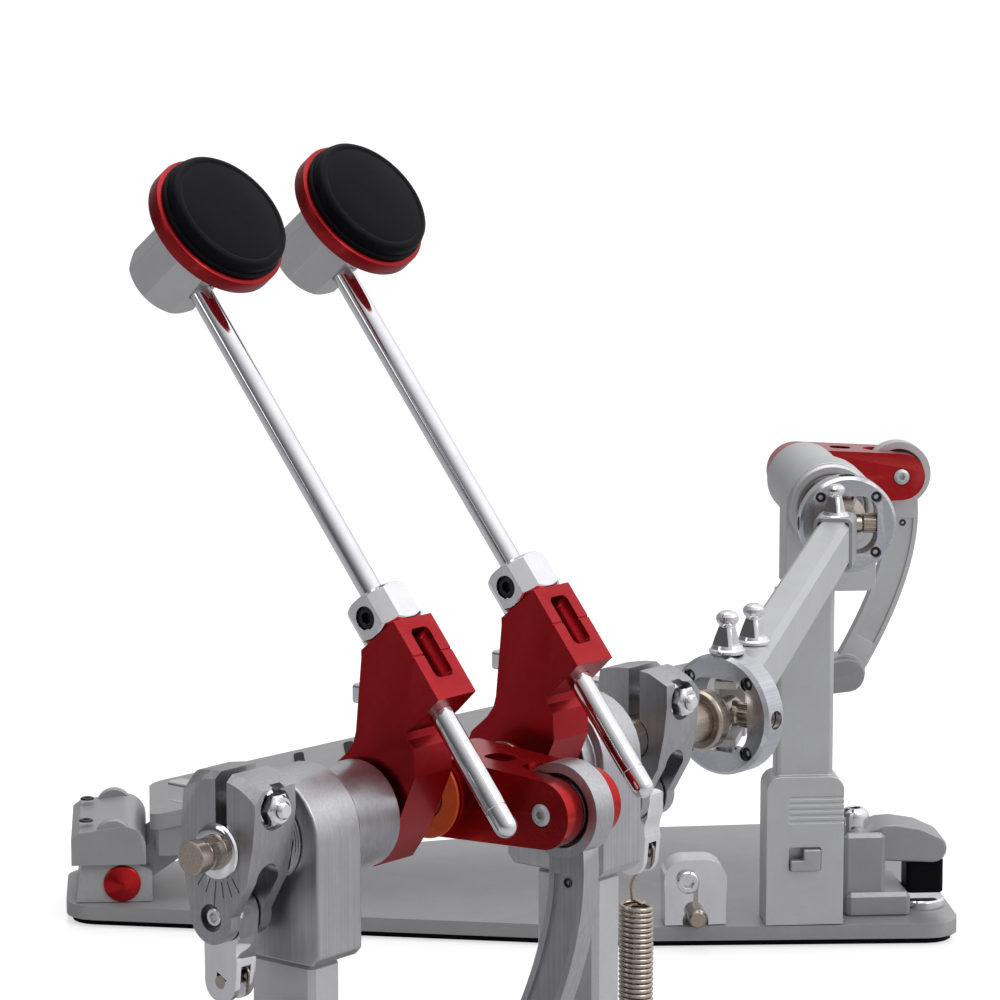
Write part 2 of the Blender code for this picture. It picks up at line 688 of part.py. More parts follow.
def link(name, frame, parent, finish):
    """Bowed link between the drive arm and the footboard's toe."""
    steps = 10
    front_edge = []
    rear_edge = []
    for index in range(1, steps + 1):
        share = index / steps
        ahead = (bow_point(share + 0.01) - bow_point(share - 0.01)).normalized()
        outward = Vector((-ahead.y, ahead.x)) * (LINK_BAR / 2)
        front_edge.append(tuple(bow_point(share) + outward))
        rear_edge.append(tuple(bow_point(share) - outward))
    half = LINK_WIDTH / 2
    bar_half = half - LINK_BAR_STEP
    piece = slab(name, front_edge + rear_edge[::-1], -bar_half, bar_half)
    eye_place = (ARM_LENGTH, AXLE_HEIGHT)
    foot_place = (LINK_END_Y, AXLE_HEIGHT - LINK_DROP)
    eye = rod("eye", (-half, *eye_place), (half, *eye_place), LINK_EYE_RADIUS, ROUND)
    foot = rod("foot", (-half, *foot_place), (half, *foot_place), LINK_FOOT_RADIUS, ROUND)
    unite(piece, eye, foot)
    eye_bore = rod("bore", (-2 * half, *eye_place), (2 * half, *eye_place), ARM_PIN_RADIUS + GAP)
    foot_bore = rod("bore", (-2 * half, *foot_place), (2 * half, *foot_place),
                    TOE_PIN_RADIUS + TOE_PIN_PLAY)
    cut(piece, eye_bore, foot_bore)
    return place_piece(piece, frame, parent, finish)


def drive_arm(name, frame, parent, finish):
    """Forked arm on the axle; the link's eye turns between its ears."""
    half = ARM_WIDTH / 2
    centre = (0, AXLE_HEIGHT)
    tip = (ARM_LENGTH, AXLE_HEIGHT)
    piece = slab(name, strap_outline(centre, ARM_HUB_RADIUS, tip, ARM_TIP_RADIUS, 14), -half, half)
    slot_start = ARM_LENGTH - LINK_EYE_RADIUS - SWEEP_GAP
    low = AXLE_HEIGHT - 2 * ARM_HUB_RADIUS
    high = AXLE_HEIGHT + 2 * ARM_HUB_RADIUS
    slot = block("slot", (-ARM_SLOT / 2, slot_start, low),
                 (ARM_SLOT / 2, ARM_LENGTH + 2 * ARM_TIP_RADIUS, high))
    bore = rod("bore", (-2 * half, *centre), (2 * half, *centre), AXLE_RADIUS + GAP, ROUND)
    pin_bore = rod("bore", (-2 * half, *tip), (2 * half, *tip), ARM_PIN_RADIUS + GAP)
    cut(piece, slot, bore, pin_bore)
    return place_piece(piece, frame, parent, finish)


def arm_pin(name, frame, parent, finish):
    """Pin that joins the link to the arm, with a low head at each end."""
    half = ARM_WIDTH / 2
    place = (0, ARM_LENGTH, AXLE_HEIGHT)
    inner = ARM_PIN_RADIUS - 1 * MM
    profile = [(-half - MM, 0), (-half - MM, inner), (-half, ARM_PIN_RADIUS)]
    profile += [(half, ARM_PIN_RADIUS), (half + MM, inner), (half + MM, 0)]
    piece = turned(name, profile, place, AXIS_X, SMALL_ROUND)
    return place_piece(piece, frame, parent, finish)


# ---------------------------------------------------------------- beaters

def hub_outline():
    """Side outline of a beater hub, as a clamp block over a round boss."""
    top_front = rod_point(HUB_FACE_HIGH, HUB_FRONT)
    face_low = rod_point(HUB_FACE_LOW, HUB_FRONT)
    top_rear = rod_point(HUB_FACE_HIGH, HUB_FRONT - 20 * MM)
    z = AXLE_HEIGHT
    outline = [(top_front.y, top_front.z), (face_low.y, face_low.z)]
    outline += [(25 * MM, z + 35 * MM), (18.6 * MM, z + 29.6 * MM), (19 * MM, z + 27 * MM)]
    outline += [(21.6 * MM, z + 24.4 * MM), (22.2 * MM, z + 14.5 * MM)]
    outline += [(15 * MM, z - 1.5 * MM), (10.5 * MM, z - 10 * MM)]
    outline += arc((0, z), HUB_BOSS_RADIUS, -76, -195, 9)
    outline += [(-15 * MM, z + 13 * MM), (-8 * MM, z + 19 * MM), (-5 * MM, z + 23 * MM)]
    outline += [(-3.9 * MM, z + 27 * MM), (top_rear.y, top_rear.z)]
    return outline


def hub(name, frame, parent, finish, x):
    """Beater hub with its axle bore, its rod bore and a window in front."""
    half = HUB_THICKNESS / 2
    piece = slab(name, hub_outline(), x - half, x + half)
    bore = rod("bore", (x - 2 * half, 0, AXLE_HEIGHT), (x + 2 * half, 0, AXLE_HEIGHT),
               AXLE_RADIUS + GAP, ROUND)
    rod_bore = rod("bore", rod_point(-ROD_BELOW - 9 * MM, 0, x),
                   rod_point(HUB_FACE_HIGH + 9 * MM, 0, x), ROD_RADIUS + GAP)
    cut(piece, bore, rod_bore, window_cutter(x), rod("bolt bore", *hub_bolt_line(x), 2.8 * MM))
    return place_piece(piece, frame, parent, finish)


def window_cutter(x):
    """Rounded window from the hub's front face to the beater rod."""
    shape = bmesh.new()
    bmesh.ops.create_cube(shape, size=1, matrix=Matrix.Diagonal((9 * MM, 12 * MM, 19 * MM, 1)))
    lengthways = [e for e in shape.edges if abs(e.verts[0].co.y - e.verts[1].co.y) > MM]
    bmesh.ops.bevel(shape, geom=lengthways, offset=2.5 * MM, segments=3, affect='EDGES')
    middle = (HUB_FACE_LOW + HUB_FACE_HIGH) / 2 + 2 * MM
    place = Matrix.Translation(rod_point(middle, HUB_FRONT - 2 * MM, x))
    turn = Matrix.Rotation(ROD_LEAN, 4, 'X')
    bmesh.ops.transform(shape, matrix=place @ turn, verts=shape.verts)
    return mesh_object("window", shape)


def hub_bolt_line(x):
    """Both ends of the hub bolt's hole, from behind the hub to its rod."""
    height = AXLE_HEIGHT + 38 * MM
    rod_y = rod_point(15 * MM, 0).y
    return (x, -9 * MM, height), (x, rod_y - 14 * MM, height)


def hub_bolt(name, frame, parent, finish, x):
    """Clamp bolt at the hub's rear, with a square key head."""
    start, end = (Vector(point) for point in hub_bolt_line(x))
    face_y = -3.6 * MM
    head_low = (x - 3 * MM, face_y - 11 * MM, start.z - 3 * MM)
    head_high = (x + 3 * MM, face_y - 3 * MM, start.z + 3 * MM)
    piece = block(name, head_low, head_high, 0.6 * MM)
    shank = rod("shank", (x, face_y - 4 * MM, start.z), (x, end.y - MM, start.z), 2.5 * MM)
    flange = rod("flange", (x, face_y - 3.2 * MM, start.z), (x, face_y - 1 * MM, start.z), 4.4 * MM)
    unite(piece, shank, flange)
    return place_piece(piece, frame, parent, finish)


def collar(name, frame, parent, finish, x):
    """Chromed stop collar that sits on the hub around the beater rod."""
    half = COLLAR_SIZE / 2
    chamfer = 5 * MM
    corners = [(-half, -half + chamfer), (-half + chamfer, -half), (half - chamfer, -half)]
    corners += [(half, -half + chamfer), (half, half - chamfer), (half - chamfer, half)]
    corners += [(-half + chamfer, half), (-half, half - chamfer)]
    piece = flat_slab(name, corners, 0, COLLAR_HEIGHT)
    cut(piece, rod("bore", (0, 0, -half), (0, 0, 2 * COLLAR_HEIGHT), ROD_RADIUS + GAP))
    place = Matrix.Translation(rod_point(HUB_FACE_HIGH + GAP, 0, x))
    piece.data.transform(place @ Matrix.Rotation(ROD_LEAN, 4, 'X'))
    return place_piece(piece, frame, parent, finish)


def beater_rod(name, frame, parent, finish, x):
    """Beater rod with a domed lower end."""
    top = HEAD_ALONG + 8 * MM
    reach = ROD_BELOW - ROD_RADIUS
    dome = [(-reach - ROD_RADIUS * math.sin(math.radians(a)), ROD_RADIUS * math.cos(math.radians(a)))
            for a in (90, 60, 30, 0)]
    dome[0] = (dome[0][0], 0)
    profile = dome + [(top, ROD_RADIUS), (top, 0)]
    piece = turned(name, profile, rod_point(0, 0, x), ROD_AXIS, SMALL_ROUND)
    return place_piece(piece, frame, parent, finish)


def beater_body(name, frame, parent, finish, x):
    """Eight-sided body of the beater head, bored for the rod."""
    profile = [(-HEAD_BACK, 0), (-HEAD_BACK, HEAD_BODY_RADIUS - MM)]
    profile += [(-HEAD_BACK + MM, HEAD_BODY_RADIUS), (HEAD_BODY_FRONT, HEAD_BODY_RADIUS)]
    profile += [(HEAD_BODY_FRONT, 0)]
    piece = turned(name, profile, rod_point(HEAD_ALONG, 0, x), HEAD_AXIS, 8)
    bore = rod("bore", rod_point(HEAD_ALONG - 30 * MM, 0, x),
               rod_point(HEAD_ALONG + 8 * MM + GAP, 0, x), ROD_RADIUS + GAP)
    cut(piece, bore)
    return place_piece(piece, frame, parent, finish)


def beater_ring(name, frame, parent, finish, x):
    """Coloured backing ring of the beater head."""
    start = HEAD_BODY_FRONT + GAP
    end = start + HEAD_RING_THICKNESS
    edge = HEAD_RING_RADIUS
    profile = [(start, 0), (start, edge - 1.5 * MM), (start + 1.5 * MM, edge)]
    profile += [(end - 0.8 * MM, edge), (end, edge - 0.8 * MM), (end, 0)]
    piece = turned(name, profile, rod_point(HEAD_ALONG, 0, x), HEAD_AXIS, ROUND)
    return place_piece(piece, frame, parent, finish)


def beater_pad(name, frame, parent, finish, x):
    """Rubber striking pad with a rounded rim."""
    start = HEAD_BODY_FRONT + HEAD_RING_THICKNESS + 2 * GAP
    end = start + HEAD_PAD_THICKNESS
    edge = HEAD_PAD_RADIUS
    profile = [(start, 0), (start, edge), (end - 3 * MM, edge), (end - MM, edge - 1.2 * MM)]
    profile += [(end, edge - 4 * MM), (end, 0)]
    piece = turned(name, profile, rod_point(HEAD_ALONG, 0, x), HEAD_AXIS, ROUND)
    return place_piece(piece, frame, parent, finish)


def beater(side_name, frame, parent, finishes, x):
    """One beater with its hub, collar and clamp bolt."""
    hub(f"{side_name}_hub", frame, parent, finishes["red"], x)
    hub_bolt(f"{side_name}_hub_bolt", frame, parent, finishes["chrome"], x)
    collar(f"{side_name}_collar", frame, parent, finishes["chrome"], x)
    beater_rod(f"{side_name}_beater_rod", frame, parent, finishes["chrome"], x)
    beater_body(f"{side_name}_beater_body", frame, parent, finishes["satin"], x)
    beater_ring(f"{side_name}_beater_ring", frame, parent, finishes["red"], x)
    beater_pad(f"{side_name}_beater_pad", frame, parent, finishes["rubber"], x)


# ---------------------------------------------------------------- springs

def cam_outline():
    """Shield-shaped outline of a spring cam."""
    z = AXLE_HEIGHT
    half = CAM_HALF_WIDTH
    end = (CAM_PIN_Y, z - CAM_PIN_DROP)
    outline = [(-half + 2 * MM, z + CAM_TOP - MM), (0, z + CAM_TOP + 0.6 * MM)]
    outline += [(half - 9 * MM, z + CAM_TOP), (half, z + CAM_TOP - 4 * MM)]
    outline += [(half - MM, z + 3 * MM), (half - 4.5 * MM, z - 9 * MM)]
    outline += arc(end, CAM_END_RADIUS, 5, -175, 8)
    outline += [(-half, z - MM)]
    return outline


def spring_cam(name, frame, parent, finish, side):
    """Split cam that is clamped on the axle and pulled by the spring."""
    outer = CAM_INNER_X + CAM_THICKNESS
    z = AXLE_HEIGHT
    piece = slab(name, cam_outline(), CAM_INNER_X, outer)
    bore = rod("bore", (CAM_INNER_X - MM, 0, z), (outer + MM, 0, z), AXLE_RADIUS + GAP, ROUND)
    slit = block("slit", (CAM_INNER_X - MM, -CAM_SLIT / 2 + 1.5 * MM, z + 4 * MM),
                 (outer + MM, CAM_SLIT / 2 + 1.5 * MM, z + CAM_TOP + 9 * MM))
    slot_half = CAM_SLOT / 2
    slot_top = z - CAM_PIN_DROP + SWIVEL_EYE_RADIUS + CAM_PIN_PLAY + 4 * MM
    slot = block("slot", (CAM_MIDDLE_X - slot_half, -2 * CAM_HALF_WIDTH, z - 50 * MM),
                 (CAM_MIDDLE_X + slot_half, 2 * CAM_HALF_WIDTH, slot_top))
    cut(piece, bore, slit, slot, rod("bolt bore", *cam_bolt_line(), CAM_BOLT_RADIUS + GAP))
    pin_spot = (CAM_PIN_Y, z - CAM_PIN_DROP)
    pin = rod("pin", (CAM_INNER_X + MM, *pin_spot), (outer - MM, *pin_spot), CAM_PIN_RADIUS)
    unite(piece, pin)
    mirror_x(piece, side)
    return place_piece(piece, frame, parent, finish)


def cam_bolt_line():
    """Both ends of the cam bolt's hole."""
    height = AXLE_HEIGHT + CAM_BOLT_RISE
    reach = 2 * CAM_HALF_WIDTH
    return (CAM_MIDDLE_X, -reach, height), (CAM_MIDDLE_X, reach, height)


def cam_bolt(name, frame, parent, finish, side):
    """Bolt that closes the cam's slit: a square key head and a flanged nut."""
    height = AXLE_HEIGHT + CAM_BOLT_RISE
    half = CAM_HALF_WIDTH
    x = CAM_MIDDLE_X
    head = block("head", (x - 3 * MM, -half - 13 * MM, height - 3 * MM),
                 (x + 3 * MM, -half - 2 * MM, height + 3 * MM), 0.6 * MM)
    profile = [(-half - 3.2 * MM, 0), (-half - 3.2 * MM, 4.8 * MM), (-half - GAP, 4.8 * MM)]
    profile += [(-half - GAP, CAM_BOLT_RADIUS), (half + 6 * MM, CAM_BOLT_RADIUS), (half + 6 * MM, 0)]
    piece = turned(name, profile, (x, 0, height), AXIS_Y, SMALL_ROUND)
    nut = rod("nut", (x, half + GAP, height), (x, half + 4.5 * MM, height), 5.2 * MM, 6)
    unite(piece, nut, head)
    mirror_x(piece, side)
    return place_piece(piece, frame, parent, finish)


def swivel(name, frame, parent, finish, side):
    """Flat link that hangs on the cam's pin and takes the spring's hook."""
    z = AXLE_HEIGHT - CAM_PIN_DROP
    half = SWIVEL_WIDTH / 2
    lower = (SPRING_Y, z - SWIVEL_LENGTH)
    outline = strap_outline((CAM_PIN_Y, z), SWIVEL_EYE_RADIUS, lower, 5 * MM, 8)
    piece = slab(name, outline, CAM_MIDDLE_X - half, CAM_MIDDLE_X + half)
    bore = rod("bore", (CAM_MIDDLE_X - 2 * half, CAM_PIN_Y, z),
               (CAM_MIDDLE_X + 2 * half, CAM_PIN_Y, z), CAM_PIN_RADIUS + CAM_PIN_PLAY)
    cut(piece, bore)
    mirror_x(piece, side)
    return place_piece(piece, frame, parent, finish)


def spring(name, frame, parent, finish, side):
    """Pull spring: straight leads at both ends of an open coil."""
    top = AXLE_HEIGHT - CAM_PIN_DROP - SWIVEL_LENGTH - 5 * MM - GAP
    bottom = ANCHOR_HEIGHT + 2 * GAP
    steps = 8 * SPRING_TURNS
    high = top - SPRING_LEAD
    low = bottom + SPRING_LEAD
    points = [Vector((CAM_MIDDLE_X, SPRING_Y, top))]
    for index in range(steps + 1):
        share = index / steps
        turn = 2 * math.pi * SPRING_TURNS * share
        spread = SPRING_RADIUS * min(1, 0.4 + 0.3 * min(index, steps - index))
        spot = (CAM_MIDDLE_X + spread * math.sin(turn), SPRING_Y + spread * math.cos(turn),
                high + (low - high) * share)
        points.append(Vector(spot))
    points.append(Vector((CAM_MIDDLE_X, SPRING_Y, bottom)))
    piece = tube_along(name, points, SPRING_WIRE, 5)
    mirror_x(piece, side)
    return place_piece(piece, frame, parent, finish)


def spring_adjuster(name, frame, parent, finish, side):
    """Threaded anchor rod of the spring with a nut above and below its lug."""
    lug_bottom = ANCHOR_LUG_TOP - 9 * MM
    radius = ANCHOR_ROD_RADIUS
    nut = 6.5 * MM
    profile = [(lug_bottom - 13 * MM, 0), (lug_bottom - 13 * MM, radius)]
    profile += [(lug_bottom - 7 * MM, radius), (lug_bottom - 7 * MM, nut)]
    profile += [(lug_bottom - GAP, nut), (lug_bottom - GAP, radius)]
    profile += [(ANCHOR_LUG_TOP + GAP, radius), (ANCHOR_LUG_TOP + GAP, nut)]
    profile += [(ANCHOR_LUG_TOP + 8 * MM, nut), (ANCHOR_LUG_TOP + 8 * MM, radius)]
    profile += [(ANCHOR_HEIGHT - 3 * MM, radius), (ANCHOR_HEIGHT, 4 * MM), (ANCHOR_HEIGHT, 0)]
    piece = turned(name, profile, (CAM_MIDDLE_X, SPRING_Y, 0), AXIS_Z, SMALL_ROUND)
    mirror_x(piece, side)
    return place_piece(piece, frame, parent, finish)


# ---------------------------------------------------------------- axles and joints

def right_axle(name, frame, parent, finish):
    """Right axle, whose journal runs inside the left axle."""
    start = AXLE_SPLIT_X - JOURNAL_LENGTH
    profile = [(start, 0), (start, JOURNAL_RADIUS), (AXLE_SPLIT_X, JOURNAL_RADIUS)]
    profile += [(AXLE_SPLIT_X, AXLE_RADIUS), (AXLE_SHOULDER_X, AXLE_RADIUS)]
    profile += [(AXLE_SHOULDER_X, AXLE_TIP_RADIUS), (AXLE_TIP_X - MM, AXLE_TIP_RADIUS)]
    profile += [(AXLE_TIP_X, AXLE_TIP_RADIUS - MM), (AXLE_TIP_X, 0)]
    piece = turned(name, profile, (0, 0, AXLE_HEIGHT), AXIS_X, ROUND)
    return place_piece(piece, frame, parent, finish)


def joint_axle(name, frame, parent, finish, joint_x, end_x, hollow):
    """Axle that ends in a cross pin inside its ring joint."""
    sign = math.copysign(1, joint_x)
    reach = abs(joint_x)
    neck = reach - JOINT_NECK_LENGTH
    tip = reach + JOINT_PIN_RADIUS + MM
    profile = [(end_x, 0), (end_x, AXLE_RADIUS), (neck, AXLE_RADIUS), (neck + 2 * MM, JOINT_NECK_RADIUS)]
    profile += [(tip - MM, JOINT_NECK_RADIUS), (tip, JOINT_NECK_RADIUS - MM), (tip, 0)]
    piece = turned(name, profile, (0, 0, AXLE_HEIGHT), sign * AXIS_X, ROUND)
    pin = rod("pin", (joint_x, -JOINT_PIN_REACH, AXLE_HEIGHT),
              (joint_x, JOINT_PIN_REACH, AXLE_HEIGHT), JOINT_PIN_RADIUS)
    unite(piece, pin)
    if hollow:
        bore_end = AXLE_SPLIT_X - JOURNAL_LENGTH - 2 * GAP
        cut(piece, rod("bore", (AXLE_SPLIT_X + 9 * MM, 0, AXLE_HEIGHT),
                       (bore_end, 0, AXLE_HEIGHT), JOURNAL_RADIUS + GAP))
    return place_piece(piece, frame, parent, finish)


def joint_ring(name, frame, parent, finish, joint_x):
    """Ring of a joint, with two holes for the axle's pin and two for the fork's."""
    half = RING_WIDTH / 2
    edge = 1.5 * MM
    profile = [(-half, RING_BORE), (-half, RING_RADIUS - edge), (-half + edge, RING_RADIUS)]
    profile += [(half - edge, RING_RADIUS), (half, RING_RADIUS - edge), (half, RING_BORE)]
    piece = turned(name, profile, (joint_x, 0, AXLE_HEIGHT), AXIS_X, ROUND)
    reach = 2 * RING_RADIUS
    across = rod("hole", (joint_x, -reach, AXLE_HEIGHT), (joint_x, reach, AXLE_HEIGHT),
                 JOINT_PIN_RADIUS + GAP)
    upright = rod("hole", (joint_x, 0, AXLE_HEIGHT - reach), (joint_x, 0, AXLE_HEIGHT + reach),
                  JOINT_PIN_RADIUS + JOINT_PIN_PLAY)
    cut(piece, across, upright)
    return place_piece(piece, frame, parent, finish)


def joint_fork(start, heading):
    """Fork and upright pins that carry a ring, in the drive shaft's frame."""
    root = start + heading * FORK_LENGTH
    pieces = []
    for level in (-1, 1):
        heights = sorted((level * FORK_INNER, level * FORK_OUTER))
        span = sorted((start - heading * FORK_TIP, root + heading * 3 * MM))
        prong = block("prong", (span[0], -FORK_HALF_WIDTH, heights[0]),
                      (span[1], FORK_HALF_WIDTH, heights[1]))
        pin = rod("pin", (start, 0, level * (FORK_INNER + MM)),
                  (start, 0, level * JOINT_PIN_REACH), JOINT_PIN_RADIUS)
        pieces += [prong, pin]
    return pieces


def drive_tube(name, frame, parent, finish):
    """Outer part of the drive shaft: a flat-sided tube with the inner fork."""
    half_width = TUBE_WIDTH / 2
    half_height = TUBE_HEIGHT / 2
    root = FORK_LENGTH - MM
    piece = block(name, (TUBE_START, -half_width, -half_height),
                  (TUBE_END, half_width, half_height), 2.5 * MM)
    web = block("web", (root, -FORK_HALF_WIDTH - MM, -FORK_OUTER), (TUBE_START + 9 * MM,
                FORK_HALF_WIDTH + MM, FORK_OUTER))
    unite(piece, web, *joint_fork(0, 1))
    bore = block("bore", (TUBE_BORE_START, -ROD_WIDTH / 2 - GAP, -ROD_HEIGHT / 2 - GAP),
                 (TUBE_END + 9 * MM, ROD_WIDTH / 2 + GAP, ROD_HEIGHT / 2 + GAP))
    bolt_x = TUBE_END - THUMB_BOLT_FROM_END
    bolt_hole = rod("hole", (bolt_x, 0, 0), (bolt_x, 0, TUBE_HEIGHT), 3 * MM)
    cut(piece, bore, bolt_hole)
    return place_piece(piece, frame, parent, finish)


def drive_rod(name, frame, parent, finish):
    """Inner part of the drive shaft, which slides in the tube."""
    piece = block(name, (ROD_START, -ROD_WIDTH / 2, -ROD_HEIGHT / 2),
                  (SHAFT_LENGTH - FORK_LENGTH - MM, ROD_WIDTH / 2, ROD_HEIGHT / 2))
    web_end = SHAFT_LENGTH - FORK_LENGTH + MM
    web = block("web", (web_end - 7 * MM, -FORK_HALF_WIDTH - MM, -FORK_OUTER),
                (web_end, FORK_HALF_WIDTH + MM, FORK_OUTER))
    unite(piece, web, *joint_fork(SHAFT_LENGTH, -1))
    return place_piece(piece, frame, parent, finish)


def thumb_bolt(name, frame, parent, finish):
    """Cone-shaped thumb bolt that locks the rod in the tube."""
    base = TUBE_HEIGHT / 2 + GAP
    profile = [(ROD_HEIGHT / 2 + GAP + 0.2 * MM, 0), (ROD_HEIGHT / 2 + GAP + 0.2 * MM, 2.6 * MM)]
    profile += [(base, 2.6 * MM), (base, 8 * MM), (base + 2 * MM, 8 * MM), (base + 2.5 * MM, 6 * MM)]
    profile += [(base + 13 * MM, 3 * MM), (base + 16 * MM, 3 * MM), (base + 17.5 * MM, 0)]
    place = (TUBE_END - THUMB_BOLT_FROM_END, 0, 0)
    piece = turned(name, profile, place, AXIS_Z, SMALL_ROUND)
    return place_piece(piece, frame, parent, finish)


# ---------------------------------------------------------------- slave fittings

def button_shape(name, post_x, offset, extra, inward):
    """Block that stands for the release button or, grown a little, its recess."""
    face = post_x + FOOT_DEPTH / 2
    low = (face - inward, offset - BUTTON_WIDTH / 2 - extra, BUTTON_LIFT - extra)
    high = (face + 4 * MM, offset + BUTTON_WIDTH / 2 + extra, BUTTON_LIFT + BUTTON_HEIGHT + extra)
    return block(name, low, high)


def release_button(name, frame, parent, finish):
    """Push button in the post's foot."""
    piece = button_shape(name, SLAVE_POST_X, SLAVE_POST_OFFSET, 0, 2 * MM - GAP)
    return place_piece(piece, frame, parent, finish)


def side_bracket(name, frame, parent, finish):
    """Chromed spur bracket on the slave plate's near side."""
    low = PLATE_TOP + GAP
    half_x = 9 * MM
    half_y = 15 * MM
    piece = block(name, (BRACKET_X - half_x, BRACKET_Y - half_y, low),
                  (BRACKET_X + half_x, BRACKET_Y + half_y, low + 17 * MM), 1.5 * MM)
    tower = block("tower", (BRACKET_X - half_x, BRACKET_Y - 11 * MM, low + 12 * MM),
                  (BRACKET_X + 2 * MM, BRACKET_Y + 11 * MM, low + 38 * MM), 3 * MM)
    screw = rod("screw", (BRACKET_X, BRACKET_Y, low + 26 * MM),
                (BRACKET_X + 8 * MM, BRACKET_Y, low + 26 * MM), 7 * MM)
    unite(piece, tower, screw)
    return place_piece(piece, frame, parent, finish)


# ---------------------------------------------------------------- assembly

def pedal_stand(prefix, frame, parent, finishes, jaw_x):
    """Plate, pad, heel and hinge pin that both pedals have."""
    floor_pad(f"{prefix}_floor_pad", frame, parent, finishes["rubber"])
    base_plate(f"{prefix}_base_plate", frame, parent, finishes["cast"], jaw_x)
    heel_block(f"{prefix}_heel_block", frame, parent, finishes["cast"])
    heel_plate(f"{prefix}_heel_plate", frame, parent, finishes["cast"])
    heel_pin(f"{prefix}_heel_pin", frame, parent, finishes["red"])
    jaw_pivot = add_pivot(f"{prefix}_jaw_pivot", frame,
                          (jaw_x, JAW_HINGE_Y, JAW_HINGE_HEIGHT), parent)
    hoop_jaw(f"{prefix}_hoop_jaw", frame, jaw_pivot, finishes["cast"], jaw_x)


def pedal_drive(prefix, frame, parent, axle, finishes):
    """Arm, pin, link and footboard that both pedals have."""
    drive_arm(f"{prefix}_drive_arm", frame, axle, finishes["red"])
    arm_pin(f"{prefix}_arm_pin", frame, axle, finishes["chrome"])
    link_pivot = add_pivot(f"{prefix}_link_pivot", frame, (0, ARM_LENGTH, AXLE_HEIGHT), axle)
    link(f"{prefix}_link", frame, link_pivot, finishes["satin"])
    board_pivot = add_pivot(f"{prefix}_board_pivot", frame,
                            (0, HEEL_PIN_Y, HEEL_PIN_HEIGHT), parent)
    footboard(f"{prefix}_footboard", frame, board_pivot, finishes["cast"])


def spring_side(name, frame, parent, axle, finishes, side):
    """Cam, bolt, swivel, spring and adjuster on one side of the primary pedal."""
    spring_cam(f"{name}_spring_cam", frame, axle, finishes["satin"], side)
    cam_bolt(f"{name}_cam_bolt", frame, axle, finishes["chrome"], side)
    spring_adjuster(f"{name}_spring_adjuster", frame, parent, finishes["steel"], side)
    foot = (side * CAM_MIDDLE_X, SPRING_Y, ANCHOR_HEIGHT)
    base = add_pivot(f"{name}_spring_foot_pivot", frame, foot, parent)
    head = (side * CAM_MIDDLE_X, CAM_PIN_Y, AXLE_HEIGHT - CAM_PIN_DROP)
    lift = add_pivot(f"{name}_spring_head_pivot", frame, head, base)
    spring(f"{name}_spring", frame, base, finishes["steel"], side)
    swivel(f"{name}_spring_swivel", frame, lift, finishes["chrome"], side)


def build_primary(root, finishes):
    """The pedal under the drummer's right foot, with both beaters."""
    pedal_stand("primary", PRIMARY, root, finishes, 0.0)
    for name, side, x in (("right", 1, POST_X), ("left", -1, LEFT_POST_X)):
        post(f"{name}_post", PRIMARY, root, finishes["satin"], side, x, POST_OFFSET, True)
        housing(f"{name}_housing", PRIMARY, root, finishes["satin"], side, x, BOSS_INNER_X)
    centre = (0, 0, AXLE_HEIGHT)
    right = add_pivot("right_axle_pivot", PRIMARY, centre, root)
    right_axle("right_axle", PRIMARY, right, finishes["steel"])
    beater("right", PRIMARY, right, finishes, BEATER_SPREAD)
    spring_side("right", PRIMARY, root, right, finishes, 1)
    pedal_drive("primary", PRIMARY, root, right, finishes)
    left = add_pivot("left_axle_pivot", PRIMARY, centre, root)
    joint_axle("left_axle", PRIMARY, left, finishes["steel"], INNER_JOINT_X,
               abs(AXLE_SPLIT_X) + 2 * GAP, True)
    beater("left", PRIMARY, left, finishes, -BEATER_SPREAD)
    spring_side("left", PRIMARY, root, left, finishes, -1)
    ring_pivot = add_pivot("inner_ring_pivot", PRIMARY, (INNER_JOINT_X, 0, AXLE_HEIGHT), left)
    joint_ring("inner_joint_ring", PRIMARY, ring_pivot, finishes["satin"], INNER_JOINT_X)


def build_slave(root, finishes):
    """The pedal under the drummer's left foot."""
    frame = slave_frame()
    pedal_stand("slave", frame, root, finishes, SLAVE_JAW_X)
    post("slave_post", frame, root, finishes["satin"], 1, SLAVE_POST_X, SLAVE_POST_OFFSET, False)
    housing("slave_housing", frame, root, finishes["satin"], 1, SLAVE_POST_X,
            ARM_WIDTH / 2 + 2 * GAP)
    side_bracket("slave_side_bracket", frame, root, finishes["chrome"])
    press = (SLAVE_POST_X + FOOT_DEPTH / 2, SLAVE_POST_OFFSET, BUTTON_LIFT)
    button_pivot = add_pivot("slave_button_pivot", frame, press, root)
    release_button("slave_release_button", frame, button_pivot, finishes["satin"])
    axle = add_pivot("slave_axle_pivot", frame, (0, 0, AXLE_HEIGHT), root)
    joint_axle("slave_axle", frame, axle, finishes["steel"], SLAVE_JOINT_REACH,
               -ARM_WIDTH / 2 - 8 * MM, False)
    pedal_drive("slave", frame, root, axle, finishes)
    ring_pivot = add_pivot("outer_ring_pivot", frame, (SLAVE_JOINT_REACH, 0, AXLE_HEIGHT), axle)
    joint_ring("outer_joint_ring", frame, ring_pivot, finishes["satin"], SLAVE_JOINT_REACH)


def build_shaft(root, slave_root, finishes):
    """The telescopic shaft between the two ring joints."""
    frame = shaft_frame()
    tube_pivot = add_pivot("drive_tube_pivot", frame, (0, 0, 0), root)
    drive_tube("drive_shaft_tube", frame, tube_pivot, finishes["satin"])
    thumb_bolt("drive_shaft_thumb_bolt", frame, tube_pivot, finishes["chrome"])
    rod_pivot = add_pivot("drive_rod_pivot", frame, (SHAFT_LENGTH, 0, 0), slave_root)
    drive_rod("drive_shaft_rod", frame, rod_pivot, finishes["steel"])


